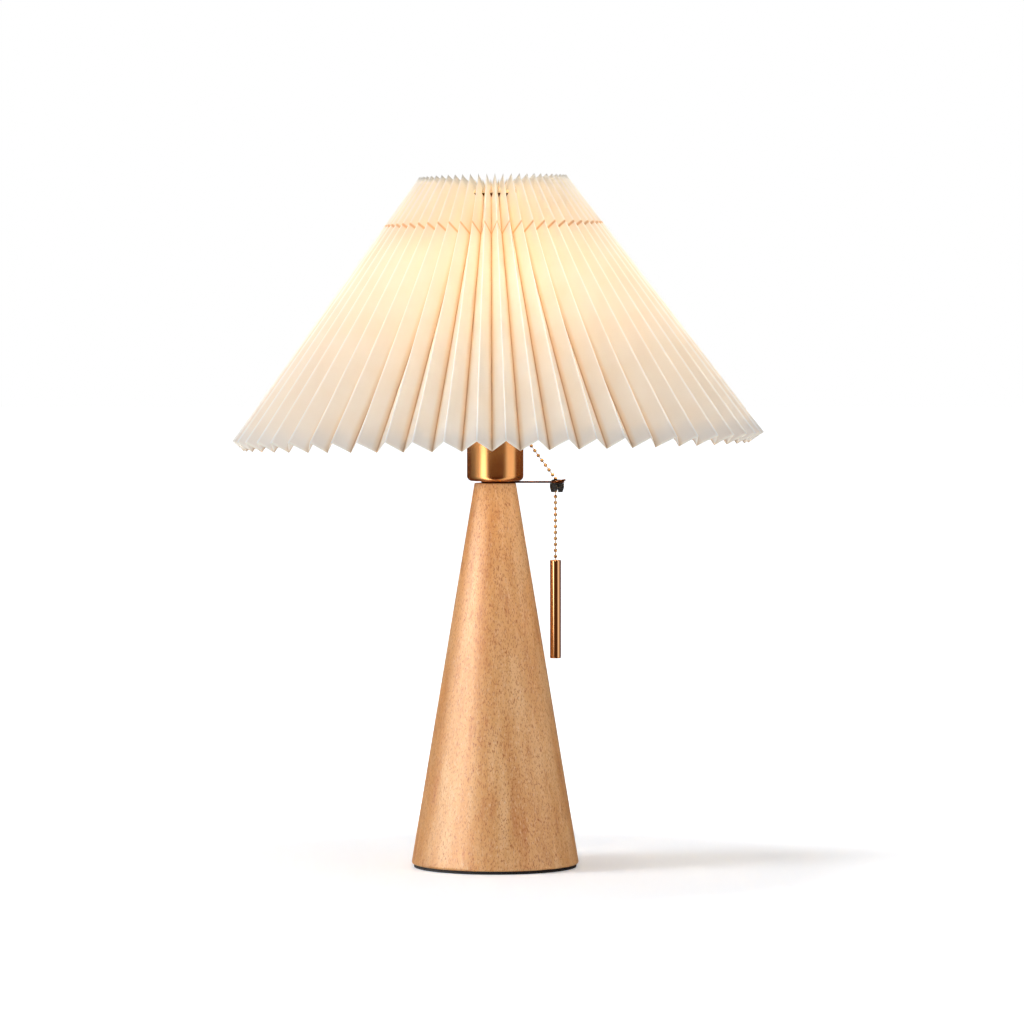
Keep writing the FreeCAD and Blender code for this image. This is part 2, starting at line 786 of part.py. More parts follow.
def hanging_run(joint_centre, count, joint_below):
    """A run that hangs from a joint bead by its own link, ending in a joint bead or not."""
    first = joint_centre + straight_down * bead_pitch
    shape = link_end(joint_centre, straight_down)
    plain = count - 1 if joint_below else count
    if plain:
        shape = shape.fuse(run(first, straight_down, plain))
    last = first + straight_down * (bead_pitch * (count - 1))
    if joint_below:
        if plain:
            neck_top = last + Z_AXIS * bead_pitch
            neck_end = last + Z_AXIS * neck_end_rise
            shape = shape.fuse(rod(link_radius, neck_top, neck_end))
        shape = shape.fuse(joint_bead(last, straight_down))
    return shape, last


def make_inner_chain():
    """The run inside the lampholder, from behind the lever to the mouth."""
    return run(Vector(bead_behind_x, 0, mouth_z), X_AXIS, inner_bead_count)


def make_diagonal_chain():
    """The run from the mouth down to the eye of the guide arm."""
    corner = Vector(inner_chain_end_x, 0, mouth_z)
    first = corner + diagonal * bead_pitch
    length = bead_pitch - bead_radius - diagonal_start_gap
    link = rod(link_radius, first, first - diagonal * length)
    return run(first, diagonal, diagonal_bead_count).fuse(link)


def make_guided_chain():
    """The beads in the eye and the grommet, the last of them a joint bead."""
    first = Vector(drop_x, 0, turn_bead_z)
    last = first + straight_down * (bead_pitch * (guided_bead_count - 1))
    shape = run(first, straight_down, guided_bead_count - 1)
    neck_end = last + Z_AXIS * neck_end_rise
    shape = shape.fuse(rod(link_radius, last + Z_AXIS * bead_pitch, neck_end))
    return shape.fuse(joint_bead(last, straight_down)), last


guided_chain, side_pivot = make_guided_chain()
upper_chain, front_pivot = hanging_run(side_pivot, upper_bead_count, True)
middle_chain, lower_pivot = hanging_run(front_pivot, middle_bead_count, True)
lower_chain, bar_pivot = hanging_run(lower_pivot, lower_bead_count, True)

save("inner_chain", make_inner_chain())
save("diagonal_chain", make_diagonal_chain())
save("guided_chain", guided_chain)
save("upper_chain", upper_chain)
save("middle_chain", middle_chain)
save("lower_chain", lower_chain)
save("bar_bead", hanging_run(bar_pivot, 1, False)[0])
print("chain joints at x %.3f, z %.3f %.3f %.3f %.3f, bar bead at z %.3f" % (
    drop_x, side_pivot.z, front_pivot.z, lower_pivot.z, bar_pivot.z,
    bar_pivot.z - bead_pitch))
print("lever pivot at", pivot, "diagonal", diagonal)


# ---------------------------------------------------------------- pull bar
def make_pull_bar():
    """The turned bar, bored at the top for its bush."""
    bottom = Vector(drop_x, 0, bar_top_z - bar_length)
    bar = Part.makeCylinder(bar_radius, bar_length, bottom)
    rims = [edge for edge in bar.Edges if edge.BoundBox.ZLength < edge_tolerance]
    bar = bar.makeChamfer(bar_edge, rims)
    bore = Part.makeCylinder(bar_bush_radius, bar_bush_length,
                             Vector(drop_x, 0, bar_top_z - bar_bush_length))
    return bar.cut(bore)


def make_bar_bush():
    """The bush pressed into the bar, with a ball seat and a flared mouth."""
    centre = bar_pivot + straight_down * bead_pitch
    top = Vector(drop_x, 0, bar_top_z)
    bush = Part.makeCylinder(bar_bush_radius, bar_bush_length,
                             top - Z_AXIS * bar_bush_length)
    bush = bush.cut(Part.makeSphere(bead_radius + bar_seat_clearance, centre))
    flare = Part.makeCone(link_radius + bar_seat_clearance, bar_mouth_radius,
                          bar_bead_depth, centre)
    return bush.cut(flare)


save("pull_bar", make_pull_bar())
save("bar_bush", make_bar_bush())


# ---------------------------------------------------------------- bulb
def make_bulb_glass():
    """The hollow glass: a round globe that narrows to the neck."""
    centre_z = bulb_top_z - bulb_radius
    globe = Part.makeSphere(bulb_radius, Vector(0, 0, centre_z))
    hollow = Part.makeSphere(bulb_radius - bulb_glass_wall, Vector(0, 0, centre_z))
    neck_bottom = bulb_cap_top_z + bulb_skirt_height
    narrowing = (bulb_radius - bulb_neck_radius) / (centre_z - neck_bottom)
    slope = math.asin(bulb_taper_share * narrowing)
    join_z = centre_z - bulb_radius * math.sin(slope)
    join_radius = bulb_radius * math.cos(slope)
    taper = Part.makeCone(bulb_neck_radius, join_radius, join_z - neck_bottom,
                          Vector(0, 0, neck_bottom))
    inner_taper = Part.makeCone(bulb_neck_radius - bulb_glass_wall,
                                join_radius - bulb_glass_wall, join_z - neck_bottom,
                                Vector(0, 0, neck_bottom))
    return globe.fuse(taper).cut(hollow.fuse(inner_taper))


def make_bulb_cap():
    """The bulb's screw cap and the skirt that holds the glass."""
    skirt_top = bulb_cap_top_z + bulb_skirt_height
    inner = bulb_cap_radius - bulb_cap_wall
    outline = [
        (inner, bulb_cap_z),
        (bulb_cap_radius, bulb_cap_z),
        (bulb_cap_radius, bulb_cap_top_z),
        (bulb_skirt_radius, bulb_cap_top_z),
        (bulb_skirt_radius, skirt_top),
        (inner, skirt_top),
    ]
    return turned(outline)


def make_bulb_contact():
    """The black seal at the bulb's end, with the contact tip."""
    seal = Part.makeCone(bulb_tip_radius, bulb_seal_radius, bulb_seal_height,
                         Vector(0, 0, bulb_seal_z))
    return disc(bulb_tip_radius, bulb_tip_z, bulb_seal_z).fuse(seal)


save("bulb_glass", make_bulb_glass())
save("bulb_cap", make_bulb_cap())
save("bulb_contact", make_bulb_contact())


# ---------------------------------------------------------------- pleated shade
def fold_ends(radius):
    """How far a valley fold's end lies inward of a mountain fold's end, and below it."""
    spread = math.tan(math.pi / pleat_count)
    a = 1 + shade_slope ** 2 + spread ** 2
    b = -2 * radius * spread ** 2
    c = (radius * spread) ** 2 - panel_width ** 2
    inward = (-b + math.sqrt(b * b - 4 * a * c)) / (2 * a)
    return inward, inward * shade_slope


def zigzag(radius, top, offset):
    """Corner points of the folded edge whose mountain folds end at a radius and height."""
    inward, drop = fold_ends(radius)
    valley_radius = (radius - inward) / math.cos(math.pi / pleat_count)
    half_width = (radius - inward) * math.tan(math.pi / pleat_count)
    shift = offset * panel_width / half_width
    shift_in = shift * math.cos(shade_angle)
    shift_down = shift * math.sin(shade_angle)
    points = []
    for pleat in range(pleat_count):
        for half, (fold_radius, fold_z) in enumerate(
                [(radius, top), (valley_radius, top - drop)]):
            turn = (pleat + half / 2) * 360.0 / pleat_count - 90 + front_pleat_angle
            angle = math.radians(turn)
            reach = fold_radius - shift_in
            points.append(Vector(reach * math.cos(angle), reach * math.sin(angle),
                                 fold_z - shift_down))
    return points


shade_angle = math.asin((shade_bottom_radius - shade_top_radius) / fold_length)
shade_slope = math.tan(shade_angle)
shade_bottom_z = shade_top_z - fold_length * math.cos(shade_angle)


def along(upper, lower, share):
    """Points part of the way down the folds."""
    return [a + (b - a) * share for a, b in zip(upper, lower)]


def pleated_sheet(outside, inside, start=0.0, stop=1.0):
    """A closed solid between two folded faces, each given by its top and bottom edge."""
    loops = [
        along(outside[0], outside[1], start),
        along(outside[0], outside[1], stop),
        along(inside[0], inside[1], stop),
        along(inside[0], inside[1], start),
    ]
    faces = []
    for side in range(4):
        upper = loops[side]
        lower = loops[(side + 1) % 4]
        for index in range(len(upper)):
            follow = (index + 1) % len(upper)
            first = Part.LineSegment(upper[index], upper[follow]).toShape()
            second = Part.LineSegment(lower[index], lower[follow]).toShape()
            faces.append(Part.makeRuledSurface(first, second))
    shell = Part.makeShell(faces)
    shell.sewShape()
    solid = Part.makeSolid(shell)
    if solid.Volume < 0:
        solid.reverse()
    return solid


def folded_faces(offset):
    """The top and bottom edge points of the folded face at a depth into the paper."""
    return (zigzag(shade_top_radius, shade_top_z, offset),
            zigzag(shade_bottom_radius, shade_bottom_z, offset))


valley_inward, valley_drop = fold_ends(shade_top_radius)
valley_share = (shade_top_z - valley_drop - ring_z) / (fold_length * math.cos(shade_angle))
ring_radius = (shade_top_radius - valley_inward
               + valley_share * fold_length * math.sin(shade_angle) + ring_bite)


def make_shade_paper():
    """The pleated cone, with a notch in each valley fold for the wire ring."""
    sheet = pleated_sheet(folded_faces(0.0), folded_faces(paper_thickness))
    reach = ring_wire_radius + notch_clearance
    notch = ring(ring_radius + reach, ring_radius - notch_depth, ring_z - reach,
                 ring_z + reach)
    return sheet.cut(notch)


def make_shade_hem():
    """The second layer glued inside the upper edge, below the wire ring's notches."""
    depth = paper_thickness + hem_glue_gap
    sheet = pleated_sheet(folded_faces(depth), folded_faces(depth + paper_thickness),
                          0.0, hem_width / fold_length)
    reach = ring_wire_radius + notch_clearance
    notch = ring(ring_radius + reach, ring_radius - notch_depth, ring_z - reach,
                 ring_z + reach)
    return sheet.cut(notch)


save("shade_paper", make_shade_paper())
save("shade_hem", make_shade_hem())


# ---------------------------------------------------------------- shade carrier
def make_spoke():
    """One bent wire from the ring down to the carrier."""
    top = Vector(ring_radius, 0, ring_z)
    corner = Vector(ring_radius - spoke_top_inset, 0, ring_z)
    foot = Vector(spoke_foot_radius, 0, carrier_z + carrier_thickness)
    down = foot - corner
    down.normalize()
    turn = X_AXIS.negative().getAngle(down)
    setback = spoke_bend_radius * math.tan(turn / 2)
    arc_start = corner + X_AXIS * setback
    arc_end = corner + down * setback
    inward = (X_AXIS + down)
    inward.normalize()
    centre = corner + inward * (spoke_bend_radius / math.cos(turn / 2))
    arc_middle = centre - inward * spoke_bend_radius
    path = Part.Wire([
        Part.LineSegment(top, arc_start).toShape(),
        Part.Arc(arc_start, arc_middle, arc_end).toShape(),
        Part.LineSegment(arc_end, foot).toShape(),
    ])
    profile = Part.Wire(Part.makeCircle(spoke_wire_radius, top, X_AXIS))
    return path.makePipeShell([profile], True, False)


def make_spokes():
    """The spokes, trimmed to the ring and to the carrier's top face."""
    wire = torus(ring_wire_radius, ring_radius, Vector(0, 0, ring_z))
    floor_z = carrier_z + carrier_thickness
    below = disc(2 * carrier_radius, floor_z - 2 * spoke_wire_radius, floor_z)
    spoke = make_spoke().cut(wire).cut(below)
    kept = [solid for solid in spoke.Solids if solid.BoundBox.ZMin < ring_z - spider_height / 2]
    return group(around(kept[0], spoke_count, first_spoke_angle))


def make_shade_nut():
    """The ring nut that clamps the carrier, with thumb grips round its edge."""
    top = shade_nut_z + shade_nut_height
    nut = ring(shade_nut_radius, shell_radius + thread_clearance, shade_nut_z, top)
    grip = Part.makeCylinder(shade_nut_grip_radius, shade_nut_height,
                             Vector(shade_nut_radius, 0, shade_nut_z))
    return nut.cut(group(around(grip, shade_nut_grips)))


save("shade_ring", torus(ring_wire_radius, ring_radius, Vector(0, 0, ring_z)))
save("shade_spokes", make_spokes())
save("shade_carrier", ring(carrier_radius, shell_radius + carrier_bore_clearance,
                           carrier_z, carrier_z + carrier_thickness))
save("support_ring", ring(support_ring_radius, shell_radius + thread_clearance,
                          support_ring_z, support_ring_z + support_ring_height))
save("shade_nut", make_shade_nut())
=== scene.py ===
"""Looks of the pleated paper table lamp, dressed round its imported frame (metres, +Z up)."""
import json
import logging
import math
import random
from dataclasses import dataclass, field
from enum import Enum
from functools import lru_cache
from typing import ClassVar, Iterable, List, Sequence, Set, Tuple

import bmesh
import bpy
from mathutils import Matrix, Vector


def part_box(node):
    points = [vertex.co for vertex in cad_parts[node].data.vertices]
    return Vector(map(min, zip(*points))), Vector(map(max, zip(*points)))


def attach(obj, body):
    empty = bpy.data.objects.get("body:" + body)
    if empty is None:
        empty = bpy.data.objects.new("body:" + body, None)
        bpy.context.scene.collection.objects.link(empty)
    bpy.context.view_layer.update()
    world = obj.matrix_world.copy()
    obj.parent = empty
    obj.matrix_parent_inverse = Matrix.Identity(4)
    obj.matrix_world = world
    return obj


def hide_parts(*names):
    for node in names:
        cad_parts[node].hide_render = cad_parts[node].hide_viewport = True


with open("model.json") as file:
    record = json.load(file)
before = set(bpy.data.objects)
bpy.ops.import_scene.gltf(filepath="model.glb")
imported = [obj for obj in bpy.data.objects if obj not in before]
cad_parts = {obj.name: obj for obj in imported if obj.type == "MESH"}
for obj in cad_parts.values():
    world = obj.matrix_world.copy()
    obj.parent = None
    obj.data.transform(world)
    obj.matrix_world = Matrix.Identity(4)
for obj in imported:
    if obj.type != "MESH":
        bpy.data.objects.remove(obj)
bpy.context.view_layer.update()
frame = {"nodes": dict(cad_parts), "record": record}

MM = 0.001
Pair = Tuple[float, float]
Triple = Tuple[float, float, float]
Colour = Tuple[int, int, int]
Socket = bpy.types.NodeSocket
Tree = bpy.types.NodeTree
Material = bpy.types.Material
log = logging.getLogger("lamp")

BLACK = (0.0, 0.0, 0.0, 1.0)
WHITE = (1.0, 1.0, 1.0, 1.0)
# The part of a noise value's range that most of its pattern fills
MIDDLE = (0.3, 0.7)
# The paper's length down its folds, and the width of the layer glued inside its upper edge
FOLD_LENGTH = 223.2 * MM
HEM_WIDTH = 41.0 * MM


# ---------------- colour and nodes
def linear(red: int, green: int, blue: int) -> Tuple[float, float, float, float]:
    """Turn a 0-255 screen colour into a linear RGBA colour.

    Args:
        red: red level, 0 to 255.
        green: green level, 0 to 255.
        blue: blue level, 0 to 255.

    Returns:
        The linear colour with full alpha.
    """
    def channel(level: int) -> float:
        """One channel from screen to linear."""
        share = level / 255.0
        return share / 12.92 if share <= 0.04045 else ((share + 0.055) / 1.055) ** 2.4
    return channel(red), channel(green), channel(blue), 1.0


class Axis(Enum):
    """How a metal's brush lines run, as noise cells per metre on X, Y and Z."""
    ROUND_Z = (2.0, 2.0, 1800.0)
    ALONG_Z = (700.0, 700.0, 14.0)
    EVEN = (400.0, 400.0, 400.0)


class Nodes:
    """A small builder over one node tree."""

    # A Mix node has its factor and colours at these places, under names that other kinds share
    MIX_INPUTS: ClassVar[Tuple[int, int, int]] = (0, 6, 7)
    MIX_RESULT: ClassVar[int] = 2

    def __init__(self, tree: Tree) -> None:
        """Empty a tree.

        Args:
            tree: the node tree to fill.
        """
        self.tree = tree
        self.tree.nodes.clear()

    def node(self, kind: str, **settings: object) -> bpy.types.Node:
        """Add a node and set its plain properties.

        Args:
            kind: the node's class name.
            **settings: properties to set on the node.

        Returns:
            The new node.
        """
        made = self.tree.nodes.new(kind)
        for key, value in settings.items():
            setattr(made, key, value)
        return made

    def link(self, source: Socket, target: Socket) -> None:
        """Join two sockets."""
        self.tree.links.new(source, target)

    def feed(self, target: Socket, value: object) -> None:
        """Give an input a plain value or a socket to read.

        Args:
            target: the input.
            value: a number, a colour or an output socket.
        """
        if isinstance(value, Socket):
            self.link(value, target)
        else:
            target.default_value = value

    def ramp(self, value: Socket, stops: Sequence[Tuple[float, Sequence[float]]]) -> Socket:
        """A colour ramp over a value.

        Args:
            value: the value to read.
            stops: positions and linear RGBA colours, in order.

        Returns:
            The ramp's colour.
        """
        made = self.node("ShaderNodeValToRGB")
        while len(made.color_ramp.elements) < len(stops):
            made.color_ramp.elements.new(0.5)
        for element, (position, colour) in zip(made.color_ramp.elements, stops):
            element.position = position
            element.color = colour
        self.link(value, made.inputs["Fac"])
        return made.outputs["Color"]

    def range(self, value: Socket, low: float, high: float, to_low: float,
              to_high: float) -> Socket:
        """Map a value from one range to another, held at the ends.

        Args:
            value: the value to read.
            low: the start of its range.
            high: the end of its range.
            to_low: what the start becomes.
            to_high: what the end becomes.

        Returns:
            The mapped value.
        """
        made = self.node("ShaderNodeMapRange")
        for key, number in (("From Min", low), ("From Max", high),
                            ("To Min", to_low), ("To Max", to_high)):
            made.inputs[key].default_value = number
        self.link(value, made.inputs["Value"])
        return made.outputs["Result"]

    def blend(self, share: Socket, first: object, second: object) -> Socket:
        """Mix two colours.

        Args:
            share: how much of the second colour.
            first: the colour at 0, a socket or RGBA.
            second: the colour at 1, a socket or RGBA.

        Returns:
            The mixed colour.
        """
        made = self.node("ShaderNodeMix", data_type="RGBA")
        for index, value in zip(self.MIX_INPUTS, (share, first, second)):
            self.feed(made.inputs[index], value)
        return made.outputs[self.MIX_RESULT]

    def mix(self, share: object, first: Socket, second: Socket) -> Socket:
        """Mix two shaders.

        Args:
            share: how much of the second shader, a socket or a number.
            first: the shader at 0.
            second: the shader at 1.

        Returns:
            The mixed shader.
        """
        made = self.node("ShaderNodeMixShader")
        for target, value in zip(made.inputs, (share, first, second)):
            self.feed(target, value)
        return made.outputs["Shader"]

    def math(self, kind: str, first: object, second: object = 0.0) -> Socket:
        """A math node over one or two values.

        Args:
            kind: the operation.
            first: a socket or a number.
            second: a socket or a number.

        Returns:
            The result.
        """
        made = self.node("ShaderNodeMath", operation=kind)
        for target, value in zip(made.inputs, (first, second)):
            self.feed(target, value)
        return made.outputs[0]


class Shader(Nodes):
    """One material's node tree, built round a Principled shader."""

    def __init__(self, name: str) -> None:
        """Start a node material with a Principled shader.

        Args:
            name: the material's name.
        """
        self.material = bpy.data.materials.new(name)
        self.material.use_nodes = True
        super().__init__(self.material.node_tree)
        self.output = self.node("ShaderNodeOutputMaterial")
        self.surface = self.node("ShaderNodeBsdfPrincipled")
        self.link(self.surface.outputs["BSDF"], self.output.inputs["Surface"])
        self.place = self.node("ShaderNodeTexCoord").outputs["Object"]

    def scaled(self, scale: Sequence[float]) -> Socket:
        """Object coordinates stretched by a scale on each axis.

        Args:
            scale: the three factors.

        Returns:
            The stretched coordinates.
        """
        mapping = self.node("ShaderNodeMapping")
        mapping.inputs["Scale"].default_value = scale
        self.link(self.place, mapping.inputs["Vector"])
        return mapping.outputs["Vector"]

    def noise(self, scale: Sequence[float], detail: float, rough: float) -> Socket:
        """A noise value over object coordinates.

        Args:
            scale: cells per metre on each axis.
            detail: octaves of noise.
            rough: how strong the finer octaves are.

        Returns:
            The noise value, 0 to 1.
        """
        made = self.node("ShaderNodeTexNoise")
        made.inputs["Scale"].default_value = 1.0
        made.inputs["Detail"].default_value = detail
        made.inputs["Roughness"].default_value = rough
        self.link(self.scaled(scale), made.inputs["Vector"])
        return made.outputs["Fac"]

    def attribute(self, name: str) -> Socket:
        """A number stored on the mesh's points."""
        return self.node("ShaderNodeAttribute", attribute_name=name).outputs["Fac"]

    def wear(self, place: Socket, streaks: float = 0.0,
             clouds: float = 0.0) -> Tuple[Socket, Socket]:
        """Place the shared streaks and patches, with this material's own scales.

        Args:
            place: the coordinates to read.
            streaks: the streaks' noise scale.
            clouds: the patches' noise scale.

        Returns:
            The streaks and the patches.
        """
        made = self.node("ShaderNodeGroup", node_tree=wear_group())
        for key, value in (("Vector", place), ("Streak Scale", streaks),
                           ("Cloud Scale", clouds)):
            self.feed(made.inputs[key], value)
        return made.outputs["Streaks"], made.outputs["Clouds"]

    def bump(self, height: Socket, strength: float, depth: float) -> None:
        """Drive the surface's normal by a height.

        Args:
            height: the height value.
            strength: the bump's strength.
            depth: the height of a full step, in metres.
        """
        made = self.node("ShaderNodeBump")
        made.inputs["Strength"].default_value = strength
        made.inputs["Distance"].default_value = depth
        self.link(height, made.inputs["Height"])
        self.link(made.outputs["Normal"], self.surface.inputs["Normal"])

    def base(self, source: Socket) -> None:
        """Drive the base colour."""
        self.link(source, self.surface.inputs["Base Color"])

    def roughness(self, source: Socket) -> None:
        """Drive the roughness."""
        self.link(source, self.surface.inputs["Roughness"])

    def set(self, **values: object) -> None:
        """Set the Principled shader's own sockets by name, with underscores for spaces."""
        for key, value in values.items():
            self.surface.inputs[key.replace("_", " ")].default_value = value


@lru_cache(maxsize=None)
def wear_group() -> Tree:
    """Build the shared group of fine streaks and cloudy patches, once.

    Returns:
        The node group, with inputs Vector, Streak Scale, Cloud Scale and outputs
        Streaks and Clouds.
    """
    tree = bpy.data.node_groups.new("streaks_and_clouds", "ShaderNodeTree")
    for name, way, kind in (("Vector", "INPUT", "NodeSocketVector"),
                            ("Streak Scale", "INPUT", "NodeSocketFloat"),
                            ("Cloud Scale", "INPUT", "NodeSocketFloat"),
                            ("Streaks", "OUTPUT", "NodeSocketFloat"),
                            ("Clouds", "OUTPUT", "NodeSocketFloat")):
        tree.interface.new_socket(name, in_out=way, socket_type=kind)
    nodes = Nodes(tree)
    entry = nodes.node("NodeGroupInput")
    leave = nodes.node("NodeGroupOutput")
    for scale_name, result, detail in (("Streak Scale", "Streaks", 4.0),
                                       ("Cloud Scale", "Clouds", 2.0)):
        noise = nodes.node("ShaderNodeTexNoise")
        noise.inputs["Detail"].default_value = detail
        nodes.link(entry.outputs["Vector"], noise.inputs["Vector"])
        nodes.link(entry.outputs[scale_name], noise.inputs["Scale"])
        nodes.link(noise.outputs["Fac"], leave.inputs[result])
    return tree


# ---------------- finishes
@dataclass(frozen=True)
class BrushedMetal:
    """Metal with fine brush lines."""
    name: str
    colour: Colour
    dark: Colour
    roughness: float = 0.28
    spread: float = 0.10
    lines: Axis = Axis.ROUND_Z
    depth: float = 0.02 * MM
    relief: float = 0.25

    def build(self) -> Material:
        """Make the material.

        Returns:
            The finished material.
        """
        shader = Shader(self.name)
        streaks, _ = shader.wear(shader.scaled(self.lines.value), streaks=1.0)
        shader.base(shader.ramp(streaks, list(zip(
            MIDDLE, (linear(*self.dark), linear(*self.colour))))))
        shader.roughness(shader.range(streaks, *MIDDLE, self.roughness + self.spread,
                                      self.roughness - self.spread / 2))
        shader.bump(streaks, self.relief, self.depth)
        shader.set(Metallic=1.0)
        return shader.material


@dataclass(frozen=True)
class Moulded:
    """Moulded or cast material with a fine skin: rubber, phenolic, ceramic, iron, card."""
    name: str
    colour: Colour
    second: Colour
    roughness: float = 0.6
    grain: float = 900.0
    depth: float = 0.08 * MM
    coat: float = 0.0
    clouds: float = 60.0
    patches: Pair = (0.12, 0.38)
    spread: float = 0.08
    relief: float = 0.5

    def build(self) -> Material:
        """Make the material.

        Returns:
            The finished material.
        """
        shader = Shader(self.name)
        streaks, clouds = shader.wear(shader.place, self.grain, self.clouds)
        share = shader.math("MULTIPLY", clouds, streaks)
        shader.base(shader.ramp(share, list(zip(
            self.patches, (linear(*self.second), linear(*self.colour))))))
        shader.roughness(shader.range(streaks, *MIDDLE, self.roughness + self.spread,
                                      self.roughness - self.spread))
        shader.bump(streaks, self.relief, self.depth)
        shader.set(Coat_Weight=self.coat)
        return shader.material


@dataclass(frozen=True)
class Beech:
    """Turned beech: pale bands, red-brown streaks, short ray flecks and a satin lacquer."""
    name: str = "beech"
    light: Colour = (236, 188, 132)
    mid: Colour = (225, 168, 106)
    deep: Colour = (213, 150, 88)
    streak: Colour = (192, 104, 46)
    fleck: Colour = (172, 80, 8)
    pale: Colour = (246, 220, 184)
    # Each pattern's cells per metre on X, Y and Z, its octaves, and how strong the finer are
    BANDS: ClassVar = ((75.0, 75.0, 2.2), 4.0, 0.6)
    STREAKS: ClassVar = ((210.0, 210.0, 5.0), 3.0, 0.5)
    FIBRES: ClassVar = ((1300.0, 1300.0, 200.0), 2.0, 0.6)
    FLECK_OCTAVES: ClassVar = (1.5, 0.5)
    # Each layer of flecks: cells per metre, the noise value that cuts it off, and its strength
    FLECKS: ClassVar = (((780.0, 780.0, 290.0), 0.355, 0.75),
                        ((1350.0, 1350.0, 480.0), 0.45, 0.55))
    band_levels: Triple = (0.34, 0.5, 0.66)
    streak_levels: Pair = (0.57, 0.70)
    pale_levels: Pair = (0.55, 0.72)
    line_strength: float = 0.45
    fleck_edge: float = 0.07
    fibre_height: float = 0.6
    roughness: Pair = (0.48, 0.38)
    relief: float = 0.3
    depth: float = 0.1 * MM
    lacquer: float = 0.5
    lacquer_roughness: float = 0.34

    def build(self) -> Material:
        """Make the material.

        Returns:
            The finished material.
        """
        shader = Shader(self.name)
        colour = shader.ramp(shader.noise(*self.BANDS), list(zip(
            self.band_levels, (linear(*self.deep), linear(*self.mid), linear(*self.light)))))
        streaks = shader.range(shader.noise(*self.STREAKS), *self.streak_levels,
                               0.0, self.line_strength)
        colour = shader.blend(streaks, colour, linear(*self.streak))
        fibres = shader.noise(*self.FIBRES)
        pale = shader.range(fibres, *self.pale_levels, 0.0, self.line_strength)
        colour = shader.blend(pale, colour, linear(*self.pale))
        height = shader.math("MULTIPLY", fibres, self.fibre_height)
        for scale, cut, strength in self.FLECKS:
            flecks = shader.range(shader.noise(scale, *self.FLECK_OCTAVES),
                                  cut - self.fleck_edge, cut, strength, 0.0)
            colour = shader.blend(flecks, colour, linear(*self.fleck))
            height = shader.math("SUBTRACT", height, flecks)
        shader.base(colour)
        shader.roughness(shader.range(fibres, *MIDDLE, *self.roughness))
        shader.bump(height, self.relief, self.depth)
        shader.set(Coat_Weight=self.lacquer, Coat_Roughness=self.lacquer_roughness)
        return shader.material


